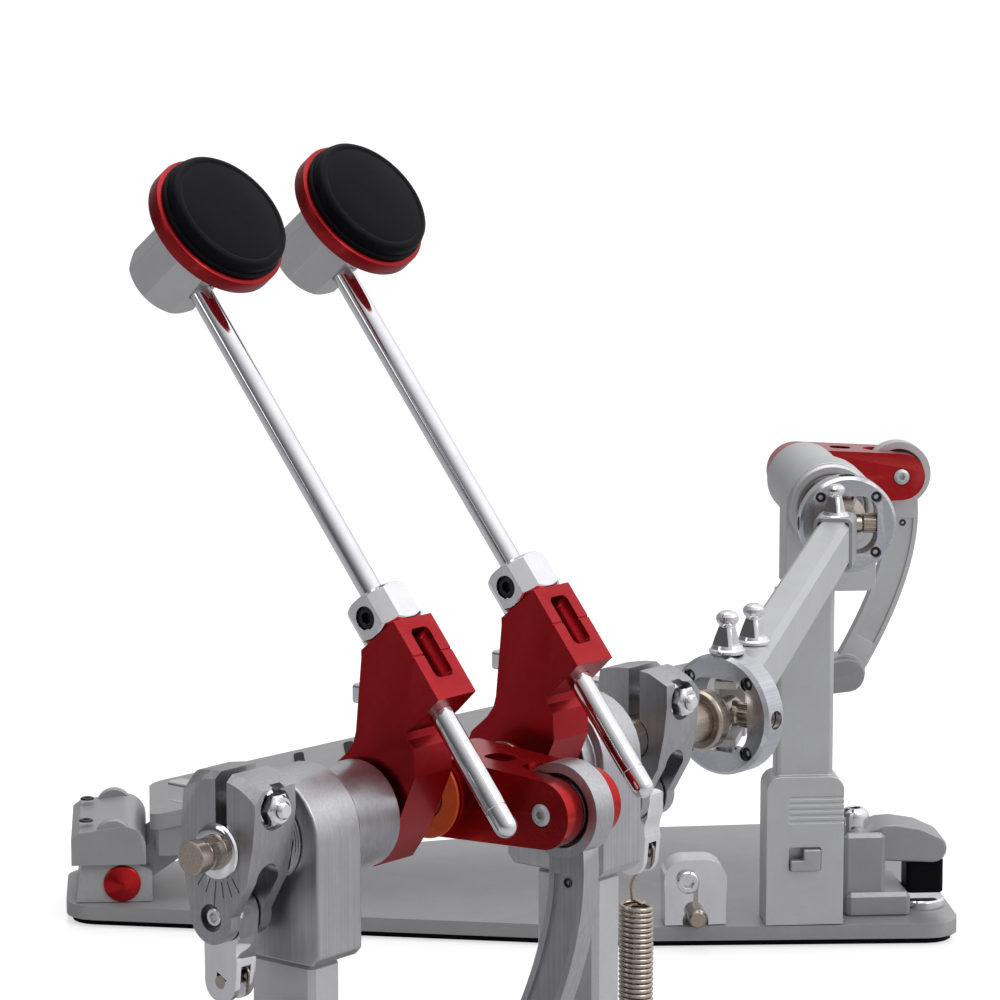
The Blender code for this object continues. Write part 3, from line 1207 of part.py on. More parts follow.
def main():
    """Build the whole pedal."""
    clear_scene()
    finishes = {
        "red": finish_material("red_anodised", (0.42, 0.012, 0.02), 0.32, 0.85),
        "satin": finish_material("satin_aluminium", (0.56, 0.57, 0.6), 0.42, 0.9),
        "cast": finish_material("cast_aluminium", (0.42, 0.43, 0.45), 0.5, 0.85),
        "chrome": finish_material("chrome", (0.8, 0.8, 0.82), 0.08, 1.0),
        "steel": finish_material("nickel_steel", (0.55, 0.48, 0.42), 0.3, 1.0),
        "rubber": finish_material("black_rubber", (0.012, 0.012, 0.014), 0.6, 0.0),
    }
    root = add_pivot("primary_frame", PRIMARY, (0, 0, 0))
    slave_root = add_pivot("slave_frame", slave_frame(), (0, 0, 0), root)
    build_primary(root, finishes)
    build_slave(slave_root, finishes)
    build_shaft(root, slave_root, finishes)


main()
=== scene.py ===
"""Looks of the direct drive double bass drum pedal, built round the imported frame.

Every size below is in millimetres.  A sub-assembly makes its meshes in a frame of its
own, whose directions are those of the pedal that it belongs to, and the workbench
scales them to metres, puts them in place and lets them ride on a body of the frame.
"""

import json
import logging
import math
from dataclasses import dataclass, field
from enum import Enum

import bmesh
import bpy
from mathutils import Matrix, Vector


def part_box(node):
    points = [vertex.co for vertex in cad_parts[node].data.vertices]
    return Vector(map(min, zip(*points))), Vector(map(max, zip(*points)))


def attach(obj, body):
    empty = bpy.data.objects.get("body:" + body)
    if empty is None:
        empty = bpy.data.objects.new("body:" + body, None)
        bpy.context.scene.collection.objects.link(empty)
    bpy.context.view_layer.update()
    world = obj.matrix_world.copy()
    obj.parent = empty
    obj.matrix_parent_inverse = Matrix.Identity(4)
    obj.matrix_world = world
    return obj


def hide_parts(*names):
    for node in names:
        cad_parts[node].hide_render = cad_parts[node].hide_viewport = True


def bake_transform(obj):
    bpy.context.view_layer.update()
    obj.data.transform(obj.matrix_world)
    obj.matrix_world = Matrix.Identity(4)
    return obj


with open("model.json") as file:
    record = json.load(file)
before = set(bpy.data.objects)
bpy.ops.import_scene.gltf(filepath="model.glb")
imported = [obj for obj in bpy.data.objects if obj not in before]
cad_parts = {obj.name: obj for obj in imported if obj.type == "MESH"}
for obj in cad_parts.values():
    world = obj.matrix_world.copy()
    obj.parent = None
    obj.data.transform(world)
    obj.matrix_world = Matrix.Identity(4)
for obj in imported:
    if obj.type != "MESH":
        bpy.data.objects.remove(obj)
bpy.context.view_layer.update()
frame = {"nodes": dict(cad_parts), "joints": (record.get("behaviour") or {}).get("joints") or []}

MM = 0.001
Colour = tuple[float, float, float]
Outline = list[tuple[float, float]]
Spot = tuple[float, float, float]
Thing = bpy.types.Object

COAT_ROUGHNESS = 0.12
RUB_STRENGTH = 0.6
BUMP_STRENGTH = 0.5

log = logging.getLogger("pedal")


# ------------------------------------------------------------------ finishes

class Grain(Enum):
    """Direction and fineness of a surface's grain, as the stretch of its noise."""

    UPRIGHT = (1300.0, 1300.0, 16.0)
    CROSSWISE = (16.0, 1300.0, 1300.0)
    BLASTED = (1900.0, 1900.0, 1900.0)
    POLISHED = (160.0, 160.0, 60.0)
    MOULDED = (1100.0, 1100.0, 1100.0)


@dataclass(frozen=True)
class Finish:
    """One finish of the pedal: its colours, its gloss and its grain."""

    name: str
    slot: str
    colour: Colour
    shade: Colour
    # Lighter colour of the convex edges: partly rubbed wear, partly a painted edge highlight.
    worn_and_highlight: Colour
    roughness: float
    spread: float
    metallic: float
    grain: Grain
    relief: float
    # Strength of the lighter edge colour, which is partly a painted edge highlight.
    wear_and_highlight: float = 0.5
    coat: float = 0.0
    gloss: float = 0.5


class Finishes:
    """The finishes that the real pedal has."""

    # The third colour of each finish is its lighter edge colour: partly rubbed wear, partly a painted edge
    # highlight.
    RED = Finish("red_anodised_finish", "red_anodised", (0.36, 0.006, 0.012), (0.25, 0.004, 0.008),
                 (0.62, 0.06, 0.065), 0.34, 0.10, 1.0, Grain.BLASTED, 0.012, 0.55, 0.08)
    RED_EAR = Finish("red_turned_finish", "red_anodised", (0.50, 0.010, 0.014), (0.36, 0.006, 0.010),
                     (0.7, 0.09, 0.08), 0.26, 0.08, 1.0, Grain.BLASTED, 0.006, 0.6, 0.12)
    RED_RING = Finish("red_ring_finish", "red_anodised", (0.30, 0.005, 0.009), (0.21, 0.003, 0.006),
                      (0.50, 0.04, 0.04), 0.36, 0.08, 0.9, Grain.BLASTED, 0.006, 0.5, 0.05)
    SATIN = Finish("satin_aluminium_finish", "satin_aluminium", (0.47, 0.472, 0.495),
                   (0.34, 0.34, 0.36), (0.72, 0.72, 0.74), 0.38, 0.14, 1.0, Grain.UPRIGHT, 0.02, 0.5)
    CAM = Finish("brushed_cam_finish", "satin_aluminium", (0.40, 0.40, 0.415),
                 (0.27, 0.27, 0.285), (0.66, 0.66, 0.68), 0.36, 0.14, 1.0, Grain.UPRIGHT, 0.02, 0.55)
    BLAST = Finish("blasted_aluminium_finish", "satin_aluminium", (0.60, 0.605, 0.61),
                   (0.53, 0.53, 0.535), (0.76, 0.76, 0.77), 0.46, 0.08, 0.85, Grain.BLASTED, 0.012, 0.4)
    CAST = Finish("cast_aluminium_finish", "cast_aluminium", (0.46, 0.46, 0.47),
                  (0.38, 0.38, 0.39), (0.66, 0.66, 0.67), 0.50, 0.12, 0.9, Grain.BLASTED, 0.03, 0.6)
    PAINTED = Finish("painted_casting_finish", "cast_aluminium", (0.33, 0.33, 0.335),
                     (0.28, 0.28, 0.285), (0.52, 0.52, 0.53), 0.42, 0.10, 0.35, Grain.BLASTED,
                     0.02, 0.5, 0.1)
    CHROME = Finish("chrome_finish", "chrome", (0.80, 0.80, 0.82), (0.70, 0.70, 0.72),
                    (0.92, 0.92, 0.93), 0.07, 0.06, 1.0, Grain.POLISHED, 0.001, 0.2)
    TURNED = Finish("turned_aluminium_finish", "satin_aluminium", (0.58, 0.59, 0.63),
                    (0.42, 0.43, 0.46), (0.80, 0.80, 0.83), 0.20, 0.12, 1.0, Grain.CROSSWISE, 0.008, 0.6)
    NICKEL = Finish("nickel_steel_finish", "nickel_steel", (0.47, 0.40, 0.345),
                    (0.33, 0.28, 0.235), (0.66, 0.60, 0.54), 0.26, 0.12, 1.0, Grain.CROSSWISE, 0.006, 0.5)
    RUBBER = Finish("black_rubber_finish", "black_rubber", (0.0022, 0.0022, 0.0032),
                    (0.0045, 0.0045, 0.0060), (0.016, 0.016, 0.019), 0.42, 0.14, 0.0, Grain.MOULDED, 0.03,
                    0.35,
                    0.0, 0.05)
    BLACK_STEEL = Finish("blackened_steel_finish", "black_rubber", (0.025, 0.026, 0.028),
                         (0.012, 0.013, 0.014), (0.16, 0.16, 0.165), 0.30, 0.12, 0.9, Grain.POLISHED,
                         0.004, 0.7)
    ORANGE = Finish("orange_washer_finish", "red_anodised", (0.80, 0.09, 0.010),
                    (0.62, 0.055, 0.006), (0.90, 0.25, 0.08), 0.38, 0.10, 0.0, Grain.MOULDED, 0.01, 0.3)


class EffectGroups:
    """Shader node groups that the finishes share."""

    def __init__(self) -> None:
        """Build the groups once."""
        self.grain = self._grain_group()
        self.wear_and_highlight = self._wear_and_highlight_group()
        self.marks = self._marks_group()

    @staticmethod
    def _new_group(name: str, inputs: dict[str, str], outputs: list[str]) -> bpy.types.NodeTree:
        """Make an empty group.

        Args:
            name: Name of the group.
            inputs: Socket name to socket type.
            outputs: Names of its number outputs.

        Returns:
            The group, with its input and output nodes in it.
        """
        group = bpy.data.node_groups.new(name, "ShaderNodeTree")
        for socket, kind in inputs.items():
            group.interface.new_socket(name=socket, in_out="INPUT", socket_type=kind)
        for socket in outputs:
            group.interface.new_socket(name=socket, in_out="OUTPUT", socket_type="NodeSocketFloat")
        group.nodes.new("NodeGroupInput").name = "in"
        group.nodes.new("NodeGroupOutput").name = "out"
        return group

    @staticmethod
    def _noise(group: bpy.types.NodeTree, vector: bpy.types.NodeSocket, scale: float,
               detail: float) -> bpy.types.Node:
        """Add a noise texture that reads a vector."""
        noise = group.nodes.new("ShaderNodeTexNoise")
        noise.inputs["Scale"].default_value = scale
        noise.inputs["Detail"].default_value = detail
        noise.inputs["Roughness"].default_value = 0.62
        group.links.new(vector, noise.inputs["Vector"])
        return noise

    @staticmethod
    def _maths(group: bpy.types.NodeTree, operation: str, first: bpy.types.NodeSocket,
               second: bpy.types.NodeSocket | float) -> bpy.types.NodeSocket:
        """Add a sum or product of a socket and a socket or number, and return its output."""
        node = group.nodes.new("ShaderNodeMath")
        node.operation = operation
        group.links.new(first, node.inputs[0])
        if isinstance(second, (int, float)):
            node.inputs[1].default_value = second
        else:
            group.links.new(second, node.inputs[1])
        return node.outputs[0]

    def _grain_group(self) -> bpy.types.NodeTree:
        """Fine stretched grain over a slow mottle, as a shade and a relief."""
        group = self._new_group("surface_grain", {"Stretch": "NodeSocketVector"}, ["Shade", "Relief"])
        place = group.nodes.new("ShaderNodeTexCoord")
        stretch = group.nodes.new("ShaderNodeVectorMath")
        stretch.operation = "MULTIPLY"
        group.links.new(place.outputs["Object"], stretch.inputs[0])
        group.links.new(group.nodes["in"].outputs["Stretch"], stretch.inputs[1])
        fine = self._noise(group, stretch.outputs[0], 1.0, 4.0)
        mottle = self._noise(group, place.outputs["Object"], 38.0, 3.0)
        both = self._maths(group, "MULTIPLY", fine.outputs["Fac"], 0.62)
        slow = self._maths(group, "MULTIPLY", mottle.outputs["Fac"], 0.38)
        shade = self._maths(group, "ADD", both, slow)
        spread = group.nodes.new("ShaderNodeMapRange")
        spread.inputs["From Min"].default_value = 0.36
        spread.inputs["From Max"].default_value = 0.64
        group.links.new(shade, spread.inputs["Value"])
        group.links.new(spread.outputs["Result"], group.nodes["out"].inputs["Shade"])
        group.links.new(fine.outputs["Fac"], group.nodes["out"].inputs["Relief"])
        return group

    def _wear_and_highlight_group(self) -> bpy.types.NodeTree:
        """Mask of the convex edges, broken up by a noise: partly rubbed wear, partly a painted edge
        highlight.
        """
        group = self._new_group("edge_wear_and_highlight", {"Amount": "NodeSocketFloat"}, ["Mask"])
        shape = group.nodes.new("ShaderNodeNewGeometry")
        # Convex edges found by pointiness; they take a lighter colour that is partly wear and partly a
        # painted edge highlight.
        edge = group.nodes.new("ShaderNodeMapRange")
        edge.inputs["From Min"].default_value = 0.515
        edge.inputs["From Max"].default_value = 0.60
        group.links.new(shape.outputs["Pointiness"], edge.inputs["Value"])
        place = group.nodes.new("ShaderNodeTexCoord")
        breakup = self._noise(group, place.outputs["Object"], 420.0, 3.0)
        strength = self._maths(group, "MULTIPLY", edge.outputs["Result"],
                               group.nodes["in"].outputs["Amount"])
        lifted = self._maths(group, "ADD", breakup.outputs["Fac"], 0.35)
        mask = self._maths(group, "MULTIPLY", strength, lifted)
        group.links.new(mask, group.nodes["out"].inputs["Mask"])
        return group

    def _marks_group(self) -> bpy.types.NodeTree:
        """Faint handling marks: soft smudges with hairline rubs across them."""
        group = self._new_group("handling_marks", {"Rubs": "NodeSocketFloat"}, ["Marks"])
        place = group.nodes.new("ShaderNodeTexCoord")
        turn = group.nodes.new("ShaderNodeMapping")
        turn.inputs["Rotation"].default_value = (0.5, 0.3, 0.7)
        turn.inputs["Scale"].default_value = (900.0, 40.0, 900.0)
        group.links.new(place.outputs["Object"], turn.inputs["Vector"])
        hairs = self._noise(group, turn.outputs["Vector"], 1.0, 2.0)
        smudge = self._noise(group, place.outputs["Object"], 70.0, 4.0)
        rubs = self._maths(group, "MULTIPLY", hairs.outputs["Fac"], group.nodes["in"].outputs["Rubs"])
        marks = self._maths(group, "ADD", smudge.outputs["Fac"], rubs)
        group.links.new(marks, group.nodes["out"].inputs["Marks"])
        return group


class FinishShop:
    """Turns a finish into a material, once."""

    def __init__(self) -> None:
        """Start with the shared effects and no material."""
        self.effects = EffectGroups()
        self.made: dict[str, bpy.types.Material] = {}

    def material(self, finish: Finish) -> bpy.types.Material:
        """Return the material of a finish, making it the first time."""
        if finish.name not in self.made:
            self.made[finish.name] = self._make(finish)
        return self.made[finish.name]

    @staticmethod
    def _mix(tree: bpy.types.NodeTree, factor: bpy.types.NodeSocket,
             first: Colour | bpy.types.NodeSocket, second: Colour) -> bpy.types.NodeSocket:
        """Blend a colour or a colour socket with another colour."""
        mix = tree.nodes.new("ShaderNodeMix")
        mix.data_type = "RGBA"
        tree.links.new(factor, mix.inputs[0])
        if isinstance(first, tuple):
            mix.inputs[6].default_value = (*first, 1.0)
        else:
            tree.links.new(first, mix.inputs[6])
        mix.inputs[7].default_value = (*second, 1.0)
        return mix.outputs[2]

    def _group(self, tree: bpy.types.NodeTree, group: bpy.types.NodeTree) -> bpy.types.Node:
        """Place one shared effect in a material."""
        node = tree.nodes.new("ShaderNodeGroup")
        node.node_tree = group
        return node

    def _make(self, finish: Finish) -> bpy.types.Material:
        """Build one material.

        Args:
            finish: The finish that it shows.

        Returns:
            The material, with grain, handling marks and lighter convex edges that are partly rubbed wear and
            partly a painted edge highlight.
        """
        material = bpy.data.materials.new(finish.name)
        material.use_nodes = True
        tree = material.node_tree
        shader = tree.nodes["Principled BSDF"]
        shader.inputs["Metallic"].default_value = finish.metallic
        shader.inputs["Coat Weight"].default_value = finish.coat
        shader.inputs["Specular IOR Level"].default_value = finish.gloss
        shader.inputs["Coat Roughness"].default_value = COAT_ROUGHNESS
        grain = self._group(tree, self.effects.grain)
        grain.inputs["Stretch"].default_value = finish.grain.value
        wear_and_highlight = self._group(tree, self.effects.wear_and_highlight)
        wear_and_highlight.inputs["Amount"].default_value = finish.wear_and_highlight
        marks = self._group(tree, self.effects.marks)
        marks.inputs["Rubs"].default_value = RUB_STRENGTH
        body = self._mix(tree, grain.outputs["Shade"], finish.shade, finish.colour)
        # Convex edges are lightened here: partly rubbed wear, partly a painted edge highlight.
        colour = self._mix(tree, wear_and_highlight.outputs["Mask"], body, finish.worn_and_highlight)
        tree.links.new(colour, shader.inputs["Base Color"])
        gloss = tree.nodes.new("ShaderNodeMapRange")
        gloss.inputs["From Min"].default_value = 0.5
        gloss.inputs["From Max"].default_value = 1.15
        gloss.inputs["To Min"].default_value = max(0.02, finish.roughness - finish.spread / 2)
        gloss.inputs["To Max"].default_value = finish.roughness + finish.spread / 2
        tree.links.new(marks.outputs["Marks"], gloss.inputs["Value"])
        tree.links.new(gloss.outputs["Result"], shader.inputs["Roughness"])
        bump = tree.nodes.new("ShaderNodeBump")
        bump.inputs["Strength"].default_value = BUMP_STRENGTH
        bump.inputs["Distance"].default_value = finish.relief * MM
        tree.links.new(grain.outputs["Relief"], bump.inputs["Height"])
        tree.links.new(bump.outputs["Normal"], shader.inputs["Normal"])
        return material


# ------------------------------------------------------------------ mesh work

class Lie(Enum):
    """The direction that an outline is drawn out along."""

    ALONG_X = "x"
    ALONG_Y = "y"
    ALONG_Z = "z"


def arc(centre: tuple[float, float], radius: float, start: float, end: float, steps: int) -> Outline:
    """Points on an arc, with its angles in degrees."""
    angles = [math.radians(start + (end - start) * i / steps) for i in range(steps + 1)]
    return [(centre[0] + radius * math.cos(a), centre[1] + radius * math.sin(a)) for a in angles]


def rounded(corners: Outline, radius: float, steps: int = 5) -> Outline:
    """Round every corner of an outline.

    Args:
        corners: The corners, in order.
        radius: Radius of each rounding.
        steps: Steps of each rounding.

    Returns:
        The outline with its roundings as short chords.
    """
    outline: Outline = []
    for index, corner in enumerate(corners):
        here = Vector(corner)
        before = (Vector(corners[index - 1]) - here).normalized()
        after = (Vector(corners[(index + 1) % len(corners)]) - here).normalized()
        half = before.angle(after) / 2
        centre = here + (before + after).normalized() * (radius / math.sin(half))
        reach = radius / math.tan(half)
        first = here + before * reach - centre
        turn = first.angle_signed(here + after * reach - centre)
        for step in range(steps + 1):
            spoke = first.copy()
            spoke.rotate(Matrix.Rotation(-turn * step / steps, 2))
            outline.append(tuple(centre + spoke))
    return outline


def strap(first: tuple[float, float], first_radius: float, second: tuple[float, float],
          second_radius: float, steps: int = 20) -> Outline:
    """Outline round two circles and the straight flanks between them."""
    run = Vector(second) - Vector(first)
    heading = math.degrees(math.atan2(run.y, run.x))
    lean = math.degrees(math.acos((first_radius - second_radius) / run.length))
    back = arc(first, first_radius, heading + lean, heading + 360 - lean, steps)
    return back + arc(second, second_radius, heading - lean, heading + lean, steps)


class Workbench:
    """Makes meshes in millimetres, joins and cuts them, and fits them to the frame."""

    def __init__(self, shop: FinishShop) -> None:
        """Keep the shop that dresses the pieces."""
        self.shop = shop

    @staticmethod
    def _object(name: str, shape: bmesh.types.BMesh) -> Thing:
        """Turn a bmesh into a linked object."""
        bmesh.ops.recalc_face_normals(shape, faces=shape.faces)
        mesh = bpy.data.meshes.new(name)
        shape.to_mesh(mesh)
        shape.free()
        thing = bpy.data.objects.new(name, mesh)
        bpy.context.scene.collection.objects.link(thing)
        return thing

    def prism(self, name: str, outline: Outline, low: float, high: float,
              lie: Lie = Lie.ALONG_X) -> Thing:
        """Draw an outline out along one direction.

        Args:
            name: Name of the piece.
            outline: Its corners, in the plane across that direction.
            low: Where it starts.
            high: Where it ends.
            lie: The direction.

        Returns:
            The closed prism.
        """
        spots = {Lie.ALONG_X: lambda a, b, h: (h, a, b), Lie.ALONG_Y: lambda a, b, h: (a, h, b),
                 Lie.ALONG_Z: lambda a, b, h: (a, b, h)}[lie]
        shape = bmesh.new()
        ring = [shape.verts.new(spots(a, b, low)) for a, b in outline]
        face = shape.faces.new(ring)
        grown = bmesh.ops.extrude_face_region(shape, geom=[face])
        moved = [item for item in grown["geom"] if isinstance(item, bmesh.types.BMVert)]
        bmesh.ops.translate(shape, verts=moved, vec=spots(0, 0, high - low))
        return self._object(name, shape)

    def brick(self, name: str, low: Spot, high: Spot) -> Thing:
        """A block between two corners."""
        shape = bmesh.new()
        middle = (Vector(low) + Vector(high)) / 2
        size = Vector(high) - Vector(low)
        place = Matrix.Translation(middle) @ Matrix.Diagonal((*size, 1))
        bmesh.ops.create_cube(shape, size=1, matrix=place)
        return self._object(name, shape)

    def turned(self, name: str, profile: Outline, place: Spot, axis: Spot,
               segments: int = 48) -> Thing:
        """Turn a profile of (distance along, radius) pairs about an axis.

        Args:
            name: Name of the piece.
            profile: The pairs, from end to end; a ring's profile is closed on itself.
            place: A spot on the axis.
            axis: Its direction.
            segments: Steps round it.

        Returns:
            The closed turned shape.
        """
        shape = bmesh.new()
        rings = []
        for along, radius in profile:
            count = segments if radius > 1e-6 else 1
            angles = [2 * math.pi * i / segments for i in range(count)]
            rings.append([shape.verts.new((radius * math.cos(a), radius * math.sin(a), along))
                          for a in angles])
        if len(rings[0]) > 1:
            rings.append(rings[0])
        for ring, after in zip(rings, rings[1:]):
            self._bridge(shape, ring, after, segments)
        spin = Vector(axis).to_track_quat("Z", "Y").to_matrix().to_4x4()
        bmesh.ops.transform(shape, matrix=Matrix.Translation(place) @ spin, verts=shape.verts)
        return self._object(name, shape)

    @staticmethod
    def _bridge(shape: bmesh.types.BMesh, ring: list, after: list, segments: int) -> None:
        """Join two rings, either of which may be a point."""
        for i in range(segments):
            j = (i + 1) % segments
            corners = [ring[i % len(ring)], ring[j % len(ring)]]
            corners += [after[j % len(after)], after[i % len(after)]]
            shape.faces.new(dict.fromkeys(corners))

    def bar(self, name: str, start: Spot, end: Spot, radius: float, segments: int = 40) -> Thing:
        """A round bar between two spots."""
        run = Vector(end) - Vector(start)
        profile = [(0, 0), (0, radius), (run.length, radius), (run.length, 0)]
        return self.turned(name, profile, start, tuple(run.normalized()), segments)

    def wire(self, name: str, points: list[Vector], radius: float, sides: int = 10) -> Thing:
        """A closed round wire that follows points."""
        shape = bmesh.new()
        rings = []
        side = Vector((1, 0, 0))
        for index, point in enumerate(points):
            ahead = points[min(index + 1, len(points) - 1)] - points[max(index - 1, 0)]
            ahead.normalize()
            side = (side - ahead * side.dot(ahead)).normalized()
            up = ahead.cross(side)
            angles = [2 * math.pi * i / sides for i in range(sides)]
            rings.append([shape.verts.new(point + radius * (math.cos(a) * side + math.sin(a) * up))
                          for a in angles])
        for ring, after in zip(rings, rings[1:]):
            self._bridge(shape, ring, after, sides)
        shape.faces.new(rings[0])
        shape.faces.new(rings[-1])
        return self._object(name, shape)

    def _combine(self, thing: Thing, other: Thing, operation: str) -> None:
        """Apply a Boolean of two objects to the first and drop the second."""
        step = thing.modifiers.new("combine", "BOOLEAN")
        step.operation = operation
        step.object = other
        graph = bpy.context.evaluated_depsgraph_get()
        graph.update()
        result = bpy.data.meshes.new_from_object(thing.evaluated_get(graph))
        thing.modifiers.remove(step)
        thing.data = result
        bpy.data.objects.remove(other, do_unlink=True)

    def cut(self, thing: Thing, *cutters: Thing) -> Thing:
        """Cut shapes out of a piece."""
        for cutter in cutters:
            self._combine(thing, cutter, "DIFFERENCE")
        return thing

    def unite(self, thing: Thing, *others: Thing) -> Thing:
        """Join shapes to a piece."""
        for other in others:
            self._combine(thing, other, "UNION")
        return thing

    def common(self, thing: Thing, other: Thing) -> Thing:
        """Keep what a piece shares with another shape."""
        self._combine(thing, other, "INTERSECT")
        return thing

    @staticmethod
    def soften(thing: Thing, edge: float, steps: int = 2, limit: float = 24.0) -> None:
        """Round a piece's sharp edges.

        Args:
            thing: The piece, in metres.
            edge: Width of the rounding, in millimetres.
            steps: Steps of the rounding.
            limit: Least angle of an edge that is rounded, in degrees.
        """
        weld = thing.modifiers.new("weld", "WELD")
        weld.merge_threshold = 0.00001
        tidy = thing.modifiers.new("flat", "DECIMATE")
        tidy.decimate_type = "DISSOLVE"
        tidy.angle_limit = math.radians(0.6)
        bevel = thing.modifiers.new("edge", "BEVEL")
        bevel.width = edge * MM
        bevel.segments = steps
        bevel.limit_method = "ANGLE"
        bevel.angle_limit = math.radians(limit)
        bevel.miter_outer = "MITER_ARC"
        normals = thing.modifiers.new("normals", "WEIGHTED_NORMAL")
        normals.keep_sharp = True

    def fit(self, thing: Thing, place: Matrix, finish: Finish, body: str,
            replaces: tuple[str, ...] = (), edge: float = 0.5, steps: int = 2,
            mirror: bool = False) -> Thing:
        """Scale, place, dress and hang up one piece.

        Args:
            thing: The piece, in millimetres in its own frame.
            place: That frame in metres.
            finish: What it is finished in.
            body: The body that it rides on.
            replaces: The frame's nodes that it stands for.
            edge: Rounding of its sharp edges, in millimetres; none when it is zero.
            steps: Steps of the rounding.
            mirror: Whether it is turned over from right to left first.

        Returns:
            The finished piece.
        """
        size = Matrix.Scale(MM, 4)
        if mirror:
            size = size @ Matrix.Scale(-1, 4, (1, 0, 0))
        thing.data.transform(place @ size)
        if mirror:
            thing.data.flip_normals()
        thing.data.shade_smooth()
        if edge:
            self.soften(thing, edge, steps)
        else:
            thing.data.set_sharp_from_angle(angle=math.radians(35))
        thing.data.materials.clear()
        thing.data.materials.append(self.shop.material(finish))
        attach(thing, body)
        if replaces:
            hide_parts(*replaces)
        log.info("%s rides on %s", thing.name, body)
        return thing

    def carry(self, node: str, finish: Finish, edge: float = 0.6, steps: int = 3) -> Thing:
        """Keep a node of the frame and give it rounded edges and a finish."""
        thing = frame["nodes"][node]
        thing.data.shade_smooth()
        self.soften(thing, edge, steps)
        thing.data.materials.clear()
        thing.data.materials.append(self.shop.material(finish))
        log.info("%s is kept", node)
        return thing

    def socket_screw(self, name: str, place: Spot, axis: Spot, radius: float,
                     height: float = 1.5, key: float = 0.52) -> Thing:
        """Round screw head with a six-sided socket.

        Args:
            name: Name of the piece.
            place: The middle of the head's foot.
            axis: Where the head points.
            radius: The head's radius.
            height: The head's height.
            key: The socket's size as a share of the radius.

        Returns:
            The screw head.
        """
        chamfer = radius * 0.16
        profile = [(0, 0), (0, radius), (height - chamfer, radius), (height, radius - chamfer),
                   (height, 0)]
        head = self.turned(name, profile, place, axis, 36)
        deep = Vector(place) + Vector(axis) * height * 0.25
        top = Vector(place) + Vector(axis) * (height + 1)
        return self.cut(head, self.bar("socket", tuple(deep), tuple(top), radius * key, 6))


# ------------------------------------------------------------------ places

@dataclass(frozen=True)
class Pedal:
    """Where one pedal stands: its floor frame, its axle frame and its bodies' prefix."""

    prefix: str
    floor: Matrix
    axle: Matrix


def joint(name: str) -> dict:
    """Find a joint of the frame by name."""
    return next(item for item in frame["joints"] if item["name"] == name)


def pedals() -> tuple[Pedal, Pedal]:
    """Read both pedals' places from the frame's joints."""
    height = joint("right_axle_turn")["pos_m"][2]
    lift = Matrix.Translation((0, 0, height))
    across = -Vector(joint("slave_axle_turn")["axis"])
    yaw = math.atan2(across.y, across.x)
    tip = Vector(joint("slave_arm_to_link")["pos_m"])
    reach = joint("primary_arm_to_link")["pos_m"][1]
    ahead = Vector((-across.y, across.x, 0))
    origin = tip - reach * ahead
    floor = Matrix.Translation((origin.x, origin.y, 0)) @ Matrix.Rotation(yaw, 4, "Z")
    first = Pedal("primary", Matrix.Identity(4), lift)
    return first, Pedal("slave", floor, Matrix.Translation((0, 0, height)) @ floor)


# ------------------------------------------------------------------ beaters

